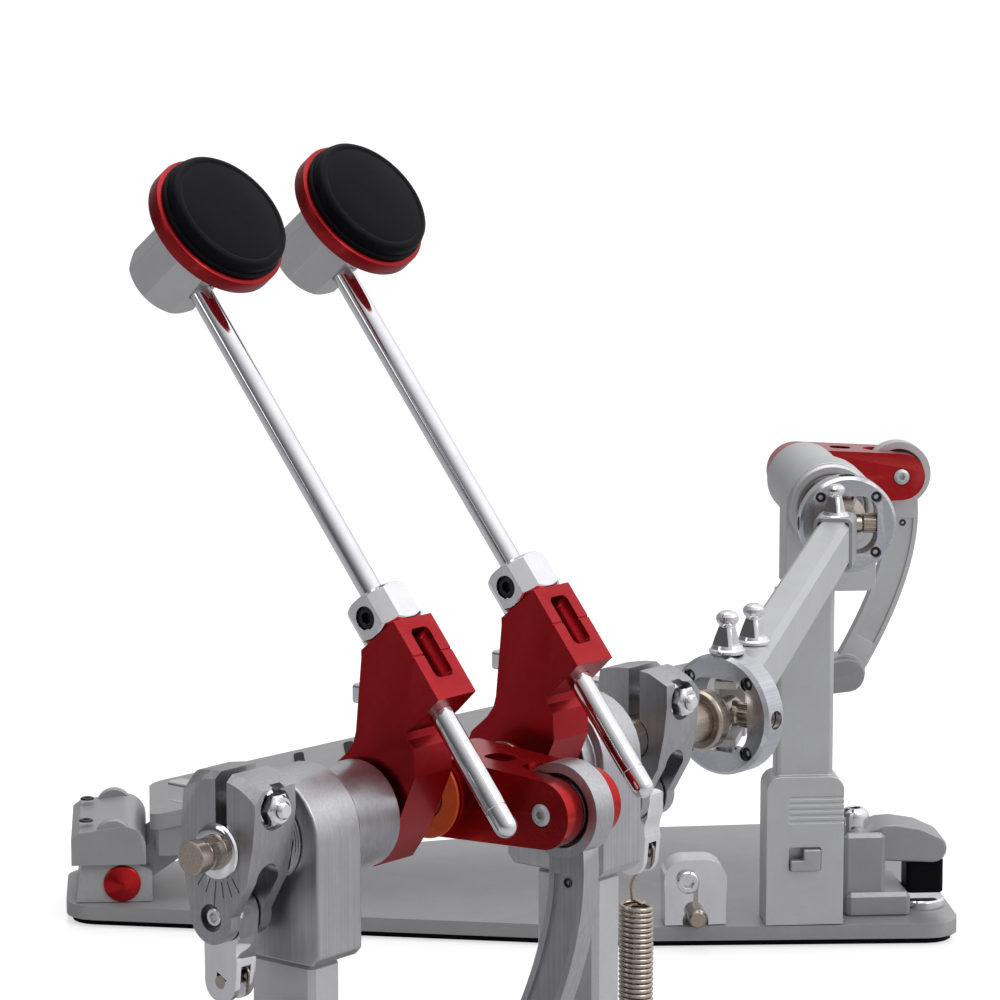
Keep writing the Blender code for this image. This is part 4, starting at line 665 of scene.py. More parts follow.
@dataclass
class Beater:
    """One beater with its hub, collar, rod and head, built along its leaning rod."""

    bench: Workbench
    pedal: Pedal
    side: str
    x: float
    lean: float = 38.97
    offset: float = 42.2
    rod_radius: float = 4.0
    below: float = 36.7
    head: float = 196.8
    hub_width: float = 19.5
    face_low: float = 12.5
    face_high: float = 43.8
    face_out: float = 9.9
    collar_size: float = 20.0
    collar_height: float = 14.0
    body_radius: float = 14.5
    body_rear: float = 13.0
    body_front: float = 17.0
    head_forward: float = 4.0
    ring_radius: float = 26.0
    pad_radius: float = 23.8

    @property
    def body(self) -> str:
        """The axle set that the beater turns with."""
        return f"{self.side}_axle_set"

    @property
    def rod_frame(self) -> Matrix:
        """Frame at the axle's middle whose Z runs up the rod."""
        return self.pedal.axle @ Matrix.Rotation(math.radians(self.lean), 4, "X")

    def spot(self, along: float, across: float) -> tuple[float, float]:
        """A place given along and across the rod, as Y and Z from the axle."""
        lean = math.radians(self.lean)
        reach = self.offset + across
        return (reach * math.cos(lean) - along * math.sin(lean),
                reach * math.sin(lean) + along * math.cos(lean))

    def build(self) -> None:
        """Build and dress the whole beater."""
        self._hub()
        self._collar()
        self._rod()
        self._head()

    def _hub(self) -> None:
        """Clamp block over a round boss, with its window, index marks and bolt."""
        bench = self.bench
        half = self.hub_width / 2
        outline = [self.spot(self.face_high, self.face_out), self.spot(self.face_low, self.face_out)]
        outline += [(25, 35), (18.6, 29.6), (19, 27), (21.6, 24.4), (22.2, 14.5), (15, -1.5), (10.5, -10)]
        outline += arc((0, 0), 19, -76, -195, 18)
        outline += [(-15, 13), (-8, 19), (-5, 23), (-3.9, 27), self.spot(self.face_high - 2, -10.1)]
        outline += [self.spot(self.face_high, -8.6)]
        hub = bench.prism(f"{self.side}_beater_hub", outline, self.x - half, self.x + half)
        turn = Matrix.Rotation(math.radians(self.lean), 4, "X")
        tools = [self._window(turn), self._rod_bore()]
        middle = (self.face_low + self.face_high) / 2 + 1.5
        for sign in (-1, 1):
            ends = sorted((sign * 3.6, sign * (half + 1)))
            mark = bench.brick("mark", (self.x + ends[0], self.offset + self.face_out - 0.35, middle - 0.35),
                               (self.x + ends[1], self.offset + self.face_out + 1, middle + 0.35))
            mark.data.transform(turn)
            tools.append(mark)
        tools.append(bench.bar("bore", (self.x - 30, 0, 0), (self.x + 30, 0, 0), 8.2, 48))
        bench.cut(hub, *tools)
        bench.fit(hub, self.pedal.axle, Finishes.RED, self.body, (f"{self.side}_hub",), 0.7, 3)
        self._hub_bolt()

    def _window(self, turn: Matrix) -> Thing:
        """Rounded window from the hub's front face to its rod."""
        middle = (self.face_low + self.face_high) / 2 + 1.8
        corners = [(self.x - 4.6, middle - 9.6), (self.x + 4.6, middle - 9.6),
                   (self.x + 4.6, middle + 9.6), (self.x - 4.6, middle + 9.6)]
        outline = rounded(corners, 2.2)
        window = self.bench.prism("window", outline, self.offset - 1.5, self.offset + 20, Lie.ALONG_Y)
        window.data.transform(turn)
        return window

    def _rod_bore(self) -> Thing:
        """Bore that the rod passes through."""
        low = self.spot(-self.below - 9, 0)
        high = self.spot(self.face_high + 9, 0)
        return self.bench.bar("bore", (self.x, *low), (self.x, *high), self.rod_radius + 0.25)

    def _hub_bolt(self) -> None:
        """Square key head at the hub's rear."""
        bench = self.bench
        corners = [(self.x - 3.4, 34.6), (self.x + 3.4, 34.6), (self.x + 3.4, 41.4), (self.x - 3.4, 41.4)]
        head = bench.prism(f"{self.side}_hub_clamp_bolt", rounded(corners, 1.3), -11.2, -3.6, Lie.ALONG_Y)
        shank = bench.bar("shank", (self.x, -5, 38), (self.x, 1, 38), 2.5)
        bench.unite(head, shank)
        bench.fit(head, self.pedal.axle, Finishes.CHROME, self.body, (f"{self.side}_hub_bolt",), 1.0, 3)

    def _collar(self) -> None:
        """Chromed stop collar with cut corners and a black set screw."""
        bench = self.bench
        half = self.collar_size / 2
        base = self.face_high + 0.3
        top = base + self.collar_height
        cut = 4.6
        corners = [(-half, -half + cut), (-half + cut, -half), (half - cut, -half), (half, -half + cut),
                   (half, half - cut), (half - cut, half), (-half + cut, half), (-half, half - cut)]
        outline = [(self.x + a, self.offset + b) for a, b in corners]
        collar = bench.prism(f"{self.side}_stop_collar", outline, base, top, Lie.ALONG_Z)
        dome = bench.turned("dome", [(0, 0), (0, half - 0.2), (2.2, half + 2.2),
                                     (self.collar_height - 2.2, half + 2.2),
                                     (self.collar_height, half - 0.2), (self.collar_height, 0)],
                            (self.x, self.offset, base), (0, 0, 1), 64)
        bench.common(collar, dome)
        bore = bench.bar("bore", (self.x, self.offset, base - 5), (self.x, self.offset, top + 5),
                         self.rod_radius + 0.25)
        pocket = bench.bar("pocket", (self.x + half - 2.4, self.offset, base + 7),
                           (self.x + half + 3, self.offset, base + 7), 4.1)
        bench.cut(collar, bore, pocket)
        bench.fit(collar, self.rod_frame, Finishes.CHROME, self.body, (f"{self.side}_collar",), 0.4, 3)
        screw = bench.socket_screw(f"{self.side}_collar_set_screw",
                                   (self.x + half - 2.8, self.offset, base + 7), (1, 0, 0), 3.9, 2.3, 0.56)
        bench.fit(screw, self.rod_frame, Finishes.BLACK_STEEL, self.body, edge=0.15)

    def _rod(self) -> None:
        """Chromed rod with a domed lower end and a turned neck near it."""
        radius = self.rod_radius
        low = -self.below
        profile = [(low + radius - radius * math.cos(math.radians(a)), radius * math.sin(math.radians(a)))
                   for a in range(0, 91, 15)]
        profile[0] = (low, 0)
        profile += [(low + 10.2, radius), (low + 10.4, radius - 0.18), (low + 10.8, radius - 0.18),
                    (low + 11.0, radius), (self.head + 7, radius), (self.head + 7, 0)]
        rod = self.bench.turned(f"{self.side}_chromed_rod", profile, (self.x, self.offset, 0), (0, 0, 1), 64)
        self.bench.fit(rod, self.rod_frame, Finishes.CHROME, self.body, (f"{self.side}_beater_rod",), 0)

    def _head(self) -> None:
        """Eight-sided body, red backing ring and rubber pad."""
        bench = self.bench
        place = (self.x, self.offset + self.head_forward, self.head)
        side = self.body_radius
        outline = [(self.x + side * math.cos(math.radians(22.5 + 45 * i)),
                    self.head + side * math.sin(math.radians(22.5 + 45 * i))) for i in range(8)]
        body = bench.prism(f"{self.side}_head_body", outline, self.offset - self.body_rear,
                           self.offset + self.body_front, Lie.ALONG_Y)
        rounding = bench.turned("rounding", [(-17, 0), (-17, side - 1.4), (-15.6, side + 0.2),
                                             (14, side + 0.2),
                                             (14, 0)], place, (0, 1, 0), 64)
        bench.common(body, rounding)
        dish = bench.turned("dish", [(-20, 0), (-20, 10.4), (-16.2, 9.8), (-16.2, 0)], place, (0, 1, 0))
        bore = bench.bar("bore", (self.x, self.offset, self.head - 30),
                         (self.x, self.offset, self.head + 7.3), self.rod_radius + 0.25)
        bench.cut(body, dish, bore)
        bench.fit(body, self.rod_frame, Finishes.BLAST, self.body, (f"{self.side}_beater_body",), 0.5, 3)
        screw = bench.socket_screw(f"{self.side}_head_screw", (self.x, self.offset - 12.4, self.head),
                                   (0, -1, 0), 4.4, 1.6)
        bench.fit(screw, self.rod_frame, Finishes.BLACK_STEEL, self.body, edge=0.15)
        rim = self.ring_radius
        ring = bench.turned(f"{self.side}_head_ring",
                            [(13.3, 0), (13.3, rim - 0.8), (13.6, rim - 0.2), (14.0, rim), (18.9, rim),
                             (19.15, rim - 0.1), (19.3, rim - 0.4), (19.3, 0)],
                            place, (0, 1, 0), 96)
        bench.fit(ring, self.rod_frame, Finishes.RED_RING, self.body, (f"{self.side}_beater_ring",), 0)
        edge = self.pad_radius
        pad = bench.turned(f"{self.side}_head_pad",
                           [(19.6, 0), (19.6, edge), (20.3, edge + 0.6), (21.2, edge + 0.5),
                            (21.5, edge - 0.4),
                            (21.9, edge - 0.5), (24.2, edge - 0.2), (25.2, edge - 0.6), (25.9, edge - 1.3),
                            (26.25, edge - 2.3), (26.2, edge - 3.0), (25.9, edge - 3.6), (26.3, edge - 5.4),
                            (26.8, edge - 14), (26.9, 0)], place, (0, 1, 0), 96)
        bench.fit(pad, self.rod_frame, Finishes.RUBBER, self.body, (f"{self.side}_beater_pad",), 0)


# ------------------------------------------------------------------ springs

@dataclass
class SpringSide:
    """The cam, its bolt, the swivel and the pull spring on one side."""

    bench: Workbench
    pedal: Pedal
    side: str
    inner_x: float = 100.0
    thickness: float = 19.5
    pin_y: float = -3.5
    pin_drop: float = 23.0
    slot_half: float = 5.2
    coil_radius: float = 5.6
    wire_radius: float = 0.9
    mirror: bool = field(init=False)

    def __post_init__(self) -> None:
        """Turn the left side over."""
        self.mirror = self.side == "left"

    @property
    def outer_x(self) -> float:
        """Where the cam's outer face is."""
        return self.inner_x + self.thickness

    @property
    def middle_x(self) -> float:
        """Where the cam's middle is."""
        return self.inner_x + self.thickness / 2

    @property
    def axle_body(self) -> str:
        """The axle set that the cam turns with."""
        return f"{self.side}_axle_set"

    def build(self) -> None:
        """Build and dress the whole side."""
        self._cam()
        self._cam_bolt()
        self._washers()
        self._swivel()
        self._spring()

    def _cam(self) -> None:
        """Split cam with its pocket, slot, counterbore and engraved fan of lines."""
        bench = self.bench
        outer = self.outer_x
        outline = [(-14.2, 24.2), (-6, 25.6), (1.2, 26.0), (8.5, 25.0), (16.3, 21.4), (16.5, 14.0),
                   (15.2, 3.0),
                   (12.5, -9.6)]
        outline += arc((self.pin_y, -self.pin_drop), 9.0, 8, -172, 16)
        outline += [(-16.4, -2.2), (-16.4, 8)]
        cam = bench.prism(f"{self.side}_split_cam", outline, self.inner_x, outer)
        nose = bench.turned("nose", [(self.inner_x - 1, 0), (self.inner_x - 1, 27.6), (outer - 5, 27.6),
                                     (outer + 1, 23.0), (outer + 1, 0)], (0, 0, 0), (1, 0, 0), 96)
        tail = bench.brick("tail", (self.inner_x - 2, -40, -60), (outer + 2, 40, 4))
        bench.common(cam, bench.unite(nose, tail))
        tools = [bench.bar("bore", (90, 0, 0), (140, 0, 0), 8.2),
                 bench.brick("slit", (90, -1.0, 4), (140, 4.0, 40)),
                 bench.brick("slot", (self.middle_x - self.slot_half, -40, -60),
                             (self.middle_x + self.slot_half, 40, -9.2)),
                 bench.bar("slot top", (self.middle_x, -40, -9.2), (self.middle_x, 40, -9.2), self.slot_half),
                 bench.bar("pocket", (self.middle_x, 12.4, 14.6), (self.middle_x, 30, 14.6), 7.1),
                 bench.brick("pocket corner", (self.middle_x - 4.6, 12.4, 14.6),
                             (self.middle_x + 0.5, 30, 22.4)),
                 bench.bar("counterbore", (outer - 3.4, self.pin_y, -self.pin_drop),
                           (outer + 4, self.pin_y, -self.pin_drop), 4.6)]
        tools += self._fan()
        bench.cut(cam, *tools)
        pin = bench.bar("pin", (self.inner_x + 1, self.pin_y, -self.pin_drop),
                        (outer - 4, self.pin_y, -self.pin_drop), 2.5)
        bench.unite(cam, pin)
        bench.fit(cam, self.pedal.axle, Finishes.CAM, self.axle_body, (f"{self.side}_spring_cam",), 0.45, 2,
                  self.mirror)
        screw = bench.socket_screw(f"{self.side}_cam_pin_screw",
                                   (outer - 3.9, self.pin_y, -self.pin_drop), (1, 0, 0), 3.3, 2.9, 0.55)
        bench.fit(screw, self.pedal.axle, Finishes.CHROME, self.axle_body, edge=0.15, mirror=self.mirror)

    def _fan(self) -> list[Thing]:
        """Cutters of the lines that fan out below the washer."""
        tools = []
        for index, angle in enumerate((-142, -126, -111, -96, -82, -68, -54)):
            reach = 19.0 if index == 3 else 15.6
            width = 0.34 if index == 3 else 0.24
            line = self.bench.brick("line", (self.outer_x - 0.4, 10.2, -width),
                                    (self.outer_x + 1, reach, width))
            line.data.transform(Matrix.Rotation(math.radians(angle), 4, "X"))
            tools.append(line)
        return tools

    def _cam_bolt(self) -> None:
        """Key head at the rear and flanged nut in the pocket of the front."""
        bench = self.bench
        x = self.middle_x
        z = 14.6
        corners = [(x - 3.5, z - 3.5), (x + 3.5, z - 3.5), (x + 3.5, z + 3.5), (x - 3.5, z + 3.5)]
        bolt = bench.prism(f"{self.side}_cam_clamp_bolt", rounded(corners, 1.3), -28.6, -17.4, Lie.ALONG_Y)
        bench.unite(bolt, bench.bar("shank", (x, -18, z), (x, 11, z), 2.9))
        bench.fit(bolt, self.pedal.axle, Finishes.CHROME, self.axle_body, (f"{self.side}_cam_bolt",), 1.0, 3,
                  self.mirror)
        nut = bench.turned(f"{self.side}_flanged_nut",
                           [(12.7, 0), (12.7, 6.2), (13.6, 6.2), (14.4, 5.4), (14.6, 5.0), (18.6, 5.0),
                            (19.4, 4.3),
                            (19.4, 3.4), (18.4, 3.2), (18.4, 0)], (x, 0, z), (0, 1, 0), 60)
        tip = bench.turned("tip", [(16, 0), (16, 2.9), (20.6, 2.9), (21.4, 2.2), (21.4, 0)], (x, 0, z),
                           (0, 1, 0))
        hexagon = bench.turned("hexagon", [(14.4, 0), (14.4, 5.7), (18.2, 5.7), (18.9, 4.9), (18.9, 0)],
                               (x, 0, z), (0, 1, 0), 6)
        bench.unite(nut, hexagon, tip)
        bench.fit(nut, self.pedal.axle, Finishes.CHROME, self.axle_body, edge=0.2, mirror=self.mirror)

    def _washers(self) -> None:
        """Washer on the axle's shoulder and the stack between cam and housing."""
        bench = self.bench
        outer = self.outer_x
        washer = bench.turned(f"{self.side}_cam_washer",
                              [(outer + 0.1, 5.4), (outer + 0.1, 9.0), (outer + 0.7, 9.4), (outer + 1.5, 9.0),
                               (outer + 1.9, 8.2), (outer + 1.9, 5.4)], (0, 0, 0), (1, 0, 0), 72)
        bench.fit(washer, self.pedal.axle, Finishes.CHROME, self.axle_body, edge=0, mirror=self.mirror)
        if self.mirror:
            return
        profile = [(96.0, 8.4), (96.0, 14.6)]
        for step in range(3):
            start = 96.0 + step * 1.25
            profile += [(start + 0.15, 15.0), (start + 0.95, 15.0), (start + 1.1, 14.0)]
        profile += [(99.7, 14.0), (99.7, 8.4)]
        stack = bench.turned(f"{self.side}_bearing_washers", profile, (0, 0, 0), (1, 0, 0), 72)
        bench.fit(stack, self.pedal.axle, Finishes.CHROME, self.axle_body, edge=0, mirror=self.mirror)

    def _swivel(self) -> None:
        """Chromed clevis that hangs on the cam's pin and takes the spring's hook."""
        bench = self.bench
        z = -self.pin_drop
        x = self.middle_x
        low = (self.pin_y - 1.0, z - 23.0)
        swivel = bench.prism(f"{self.side}_spring_clevis", strap((self.pin_y, z), 8.0, low, 6.8), x - 4.6,
                             x + 4.6)
        fork = bench.brick("fork", (x - 2.3, -40, z - 60), (x + 2.3, 40, z - 17.0))
        waist = bench.bar("waist", (x - 20, self.pin_y + 16.5, z - 12.0),
                          (x + 20, self.pin_y + 16.5, z - 12.0), 10.4)
        bore = bench.bar("bore", (x - 20, self.pin_y, z), (x + 20, self.pin_y, z), 4.5)
        hook_hole = bench.bar("hook hole", (x - 20, low[0], low[1] + 1.0), (x + 20, low[0], low[1] + 1.0),
                              3.0, 3)
        bench.cut(swivel, fork, waist, bore, hook_hole)
        bench.fit(swivel, self.pedal.axle, Finishes.CHROME, f"{self.side}_swivel_set",
                  (f"{self.side}_spring_swivel",), 0.9, 3, self.mirror)
        pin = bench.turned(f"{self.side}_clevis_pin",
                           [(x - 4.7, 0), (x - 4.7, 2.3), (x + 4.7, 2.3), (x + 4.7, 0)],
                           (0, *low), (1, 0, 0), 24)
        bench.fit(pin, self.pedal.axle, Finishes.NICKEL, f"{self.side}_swivel_set", edge=0.2,
                  mirror=self.mirror)

    def _spring(self) -> None:
        """Closely wound spring with a hook over the clevis pin."""
        sign = -1 if self.mirror else 1
        x = sign * self.middle_x
        base = Vector(joint(f"{self.side}_spring_tilt")["pos_m"]) / MM
        drop = self.pedal.axle.translation.z / MM
        hook_z = drop - self.pin_drop - 23.0
        top = drop - 64.0
        low = base.z + 8.5
        turns = round((top - low) / (2 * self.wire_radius + 0.12))
        steps = turns * 18
        points = [Vector((x, base.y, base.z + 1.0)), Vector((x, base.y, base.z + 4.5))]
        for index in range(steps + 1):
            spread = self.coil_radius * min(1.0, 0.35 + 0.065 * min(index, steps - index))
            angle = 2 * math.pi * index / 18
            points.append(Vector((x + spread * math.sin(angle), base.y + spread * math.cos(angle),
                                  low + (top - low) * index / steps)))
        points += [Vector((x + 2.6, base.y + 0.3, top + 2.2)), Vector((x + 3.6, base.y + 0.6, top + 7.5))]
        for angle in range(-20, 201, 20):
            points.append(Vector((x + 0.5, base.y + 0.3 + 3.7 * math.cos(math.radians(angle)),
                                  hook_z + 0.6 + 3.7 * math.sin(math.radians(angle)))))
        spring = self.bench.wire(f"{self.side}_pull_spring", points, self.wire_radius, 10)
        spring.data.transform(Matrix.Scale(MM, 4))
        spring.data.shade_smooth()
        spring.data.materials.append(self.bench.shop.material(Finishes.NICKEL))
        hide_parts(f"{self.side}_spring")
        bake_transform(spring)
        log.info("%s stretches between its two sets", spring.name)


# ------------------------------------------------------------------ arms, links, boards

@dataclass
class DriveLinkage:
    """The forked arm, its pin and the bowed link of one pedal."""

    bench: Workbench
    pedal: Pedal
    arm_body: str
    finish: Finish
    arm_length: float = 50.0
    hub_radius: float = 14.5
    tip_radius: float = 11.8
    width: float = 29.0
    slot: float = 11.4
    eye_radius: float = 16.4
    link_half: float = 4.8
    bar_half: float = 4.1
    bow: tuple[float, float] = (62.0, -38.0)
    end: tuple[float, float] = (24.5, -102.0)
    bar_width: float = 15.0

    def build(self) -> None:
        """Build and dress the arm, the pin and the link."""
        self._arm()
        self._pin()
        self._link()

    def _arm(self) -> None:
        """Forked arm with a pocket on its top."""
        bench = self.bench
        half = self.width / 2
        outline = strap((0, 0), self.hub_radius, (self.arm_length, 0), self.tip_radius, 36)
        arm = bench.prism(f"{self.pedal.prefix}_forked_arm", outline, -half, half)
        slot_start = self.arm_length - self.eye_radius - 1.1
        tools = [bench.brick("slot", (-self.slot / 2, slot_start + 5, -40), (self.slot / 2, 90, 40)),
                 bench.bar("slot end", (0, slot_start + 5.6, -40), (0, slot_start + 5.6, 40), self.slot / 2),
                 bench.bar("bore", (-40, 0, 0), (40, 0, 0), 8.2, 48),
                 bench.bar("pin bore", (-40, self.arm_length, 0), (40, self.arm_length, 0), 4.2)]
        corners = [(-4.4, 15.5), (4.4, 15.5), (4.4, 26), (-4.4, 26)]
        tools.append(bench.prism("pocket", rounded(corners, 3.2), 9.4, 20, Lie.ALONG_Z))
        bench.cut(arm, *tools)
        bench.fit(arm, self.pedal.axle, Finishes.RED_EAR, self.arm_body,
                  (f"{self.pedal.prefix}_drive_arm",), 0.6, 3)

    def _pin(self) -> None:
        """Pin through both ears, with a socket head at each end."""
        bench = self.bench
        half = self.width / 2
        place = (0, self.arm_length, 0)
        pin = bench.turned(f"{self.pedal.prefix}_ear_pin",
                           [(-half - 0.7, 0), (-half - 0.7, 2.6), (-half - 0.2, 3.2), (-half, 3.9),
                            (half, 3.9),
                            (half + 0.2, 3.2), (half + 0.7, 2.6), (half + 0.7, 0)], place, (1, 0, 0), 40)
        for sign in (-1, 1):
            start = (sign * (half - 1.4), self.arm_length, 0)
            bench.cut(pin, bench.bar("socket", start, (sign * (half + 3), self.arm_length, 0), 1.6, 6))
        bench.fit(pin, self.pedal.axle, Finishes.BLAST, self.arm_body, (f"{self.pedal.prefix}_arm_pin",),
                  0.15)

    def bow_point(self, share: float) -> Vector:
        """A point on the link's bowed centre line, from its eye to its foot."""
        rest = 1 - share
        start = Vector((self.arm_length, 0))
        return rest * rest * start + 2 * rest * share * Vector(self.bow) + share * share * Vector(self.end)

    def _ribbon(self, low: float, high: float, half_width: float, steps: int) -> Outline:
        """Outline of a strip that follows the bow between two shares of it."""
        front = []
        rear = []
        for index in range(steps + 1):
            share = low + (high - low) * index / steps
            ahead = (self.bow_point(share + 0.01) - self.bow_point(share - 0.01)).normalized()
            outward = Vector((-ahead.y, ahead.x)) * half_width
            front.append(tuple(self.bow_point(share) + outward))
            rear.append(tuple(self.bow_point(share) - outward))
        return front + rear[::-1]

    def _link(self) -> None:
        """Bowed link with a recessed panel, a round eye and a bolted foot."""
        bench = self.bench
        prefix = self.pedal.prefix
        body = f"{prefix}_link_set"
        link = bench.prism(f"{prefix}_bowed_link", self._ribbon(0.05, 1.0, self.bar_width / 2, 28),
                           -self.bar_half, self.bar_half)
        eye = bench.bar("eye", (-self.link_half, self.arm_length, 0), (self.link_half, self.arm_length, 0),
                        self.eye_radius, 80)
        foot = bench.bar("foot", (-5, *self.end), (5, *self.end), 9.8, 56)
        bench.unite(link, eye, foot)
        tools = [bench.bar("pin bore", (-9, self.arm_length, 0), (9, self.arm_length, 0), 4.2),
                 bench.bar("foot bore", (-9, *self.end), (9, *self.end), 5.6)]
        for sign in (-1, 1):
            spots = sorted((sign * (self.bar_half - 1.1), sign * 9))
            panel = self._ribbon(0.27, 0.86, self.bar_width / 2 - 2.3, 20)
            tools.append(bench.prism("panel", panel, *spots))
            groove = [(spots[0], 11.2), (spots[0], 12.9), (spots[1], 12.9), (spots[1], 11.2)]
            tools.append(bench.turned("groove", groove, (0, self.arm_length, 0), (1, 0, 0), 64))
        bench.cut(link, *tools)
        bench.fit(link, self.pedal.axle, self.finish, body, (f"{prefix}_link",), 0.45, 2)
        ring = bench.turned(f"{prefix}_eye_bearing",
                            [(-4.4, 4.3), (-4.4, 12.6), (-3.2, 12.6), (-3.2, 11.9), (3.2, 11.9), (3.2, 12.6),
                             (4.4, 12.6), (4.4, 4.3)], (0, self.arm_length, 0), (1, 0, 0), 64)
        bench.fit(ring, self.pedal.axle, Finishes.BLACK_STEEL, body, edge=0.2)
        for sign in (-1, 1):
            spot = self.bow_point(0.3)
            screw = bench.socket_screw(f"{prefix}_link_screw_{'right' if sign > 0 else 'left'}",
                                       (sign * (self.bar_half - 1.4), spot.x, spot.y), (sign, 0, 0), 1.7, 0.9)
            bench.fit(screw, self.pedal.axle, Finishes.BLACK_STEEL, body, edge=0.1)


# ------------------------------------------------------------------ axles and ring joints

@dataclass
class Axles:
    """The axles with their tips, thin washers and the orange shim."""

    bench: Workbench
    primary: Pedal
    slave: Pedal

    def build(self) -> None:
        """Dress the axles and add what is turned on them."""
        for node in ("left_axle", "slave_axle"):
            self.bench.carry(node, Finishes.NICKEL, 0.3, 2)
        self._right_axle()
        self._shims()

    def _right_axle(self) -> None:
        """Right axle with a flatted and grooved tip."""
        bench = self.bench
        axle = bench.turned("right_turned_axle",
                            [(-59.3, 0), (-59.3, 4), (-17.3, 4), (-17.3, 8), (121, 8), (121, 6.2),
                             (121.6, 5.9),
                             (126.6, 5.9), (126.8, 5.0), (127.8, 5.0), (128.0, 5.7), (132.4, 5.7), (133, 5.1),
                             (133, 0)], (0, 0, 0), (1, 0, 0), 64)
        flats = [bench.brick("flat", (122.4, -12, 4.4), (128.6, 12, 12)),
                 bench.brick("flat", (122.4, -12, -12), (128.6, 12, -4.4))]
        bench.cut(axle, *flats)
        bench.fit(axle, self.primary.axle, Finishes.NICKEL, "right_axle_set", ("right_axle",), 0.15)

    def _shims(self) -> None:
        """Thin washers beside the hubs and the arm."""
        bench = self.bench
        spots = (("orange_shim", 15.6, 15.2, Finishes.ORANGE, "right_axle_set", self.primary),
                 ("right_hub_shim", 26.2, 11.5, Finishes.NICKEL, "right_axle_set", self.primary),
                 ("left_hub_shim", -27.0, 11.5, Finishes.NICKEL, "left_axle_set", self.primary),
                 ("slave_arm_shim", -16.0, 12.0, Finishes.NICKEL, "slave_axle_set", self.slave))
        for name, x, radius, finish, body, pedal in spots:
            shim = bench.turned(name, [(x - 0.6, 8.3), (x - 0.6, radius - 0.2), (x - 0.3, radius),
                                       (x + 0.3, radius),
                                       (x + 0.6, radius - 0.2), (x + 0.6, 8.3)], (0, 0, 0), (1, 0, 0), 64)
            bench.fit(shim, pedal.axle, finish, body, edge=0)


@dataclass
class RingJoint:
    """One ring of the drive shaft's joints, with its screws, cross and pins."""

    bench: Workbench
    pedal: Pedal
    name: str
    node: str
    x: float
    axle_body: str
    radius: float = 22.9
    half_width: float = 5.8
    opening: float = 13.7

    def build(self) -> None:
        """Build and dress the ring and what shows inside it."""
        self._ring()
        self._cross()

    @property
    def body(self) -> str:
        """The body of the ring itself."""
        return f"{self.name}_ring_set"

    def _ring(self) -> None:
        """Ring with a squared opening and recessed screws at its corners."""
        bench = self.bench
        x = self.x
        half = self.half_width
        rim = self.radius
        ring = bench.turned(f"{self.name}_joint_ring",
                            [(x - half, 0), (x - half, rim - 1.4), (x - half + 1.4, rim),
                             (x + half - 1.4, rim),
                             (x + half, rim - 1.4), (x + half, 0)], (0, 0, 0), (1, 0, 0), 96)
        size = self.opening
        corners = [(-size, -size), (size, -size), (size, size), (-size, size)]
        tools = [bench.prism("opening", rounded(corners, 8.5, 8), x - 20, x + 20),
                 bench.bar("pin hole", (x, -30, 0), (x, 30, 0), 3.5),
                 bench.bar("pin hole", (x, 0, -30), (x, 0, 30), 3.9)]
        spots = []
        for angle in (45, 135, 225, 315):
            y = 18.6 * math.cos(math.radians(angle))
            z = 18.6 * math.sin(math.radians(angle))
            spots.append((y, z))
            for sign in (-1, 1):
                tools.append(bench.bar("screw seat", (x + sign * (half - 1.5), y, z),
                                       (x + sign * (half + 2), y, z), 2.7))
        bench.cut(ring, *tools)
        bench.fit(ring, self.pedal.axle, Finishes.TURNED, self.body, (self.node,), 0.4, 2)
        for index, (y, z) in enumerate(spots):
            for side, sign in (("near", 1), ("far", -1)):
                screw = bench.socket_screw(f"{self.name}_ring_screw_{side}_{index + 1}",
                                           (x + sign * (half - 2.0), y, z), (sign, 0, 0), 2.4, 1.3)
                bench.fit(screw, self.pedal.axle, Finishes.BLACK_STEEL, self.body, edge=0.1)

    def _cross(self) -> None:
        """Splined sleeves on the level pin, the cross's middle and the curved yoke."""
        bench = self.bench
        x = self.x
        outward = math.copysign(1, x)
        for side, sign in (("toe", 1), ("heel", -1)):
            outline: Outline = []
            for index in range(16):
                for share, radius in ((0.0, 4.7), (0.42, 4.7), (0.5, 4.15), (0.92, 4.15)):
                    angle = 2 * math.pi * (index + share) / 16
                    outline.append((x + radius * math.cos(angle), radius * math.sin(angle)))
            ends = sorted((sign * 7.6, sign * 13.4))
            sleeve = bench.prism(f"{self.name}_cross_sleeve_{side}", outline, *ends, Lie.ALONG_Y)
            bench.fit(sleeve, self.pedal.axle, Finishes.NICKEL, self.axle_body, edge=0.12)
            collar = bench.turned(f"{self.name}_cross_collar_{side}",
                                  [(3.0, 3.3), (3.0, 5.1), (6.6, 4.6), (7.6, 3.9), (7.6, 3.3)], (x, 0, 0),
                                  (0, sign, 0), 40)
            bench.fit(collar, self.pedal.axle, Finishes.NICKEL, self.axle_body, edge=0.1)
        yoke = bench.turned(f"{self.name}_yoke_bell",
                            [(-19.0, 8.1), (-19.0, 10.5), (-17.8, 11.4), (-13.4, 11.4), (-10.2, 9.6),
                             (-7.6, 6.7),
                             (-7.0, 6.1), (-16.5, 6.1)], (x, 0, 0), (outward, 0, 0), 56)
        bench.fit(yoke, self.pedal.axle, Finishes.NICKEL, self.axle_body, edge=0.25)


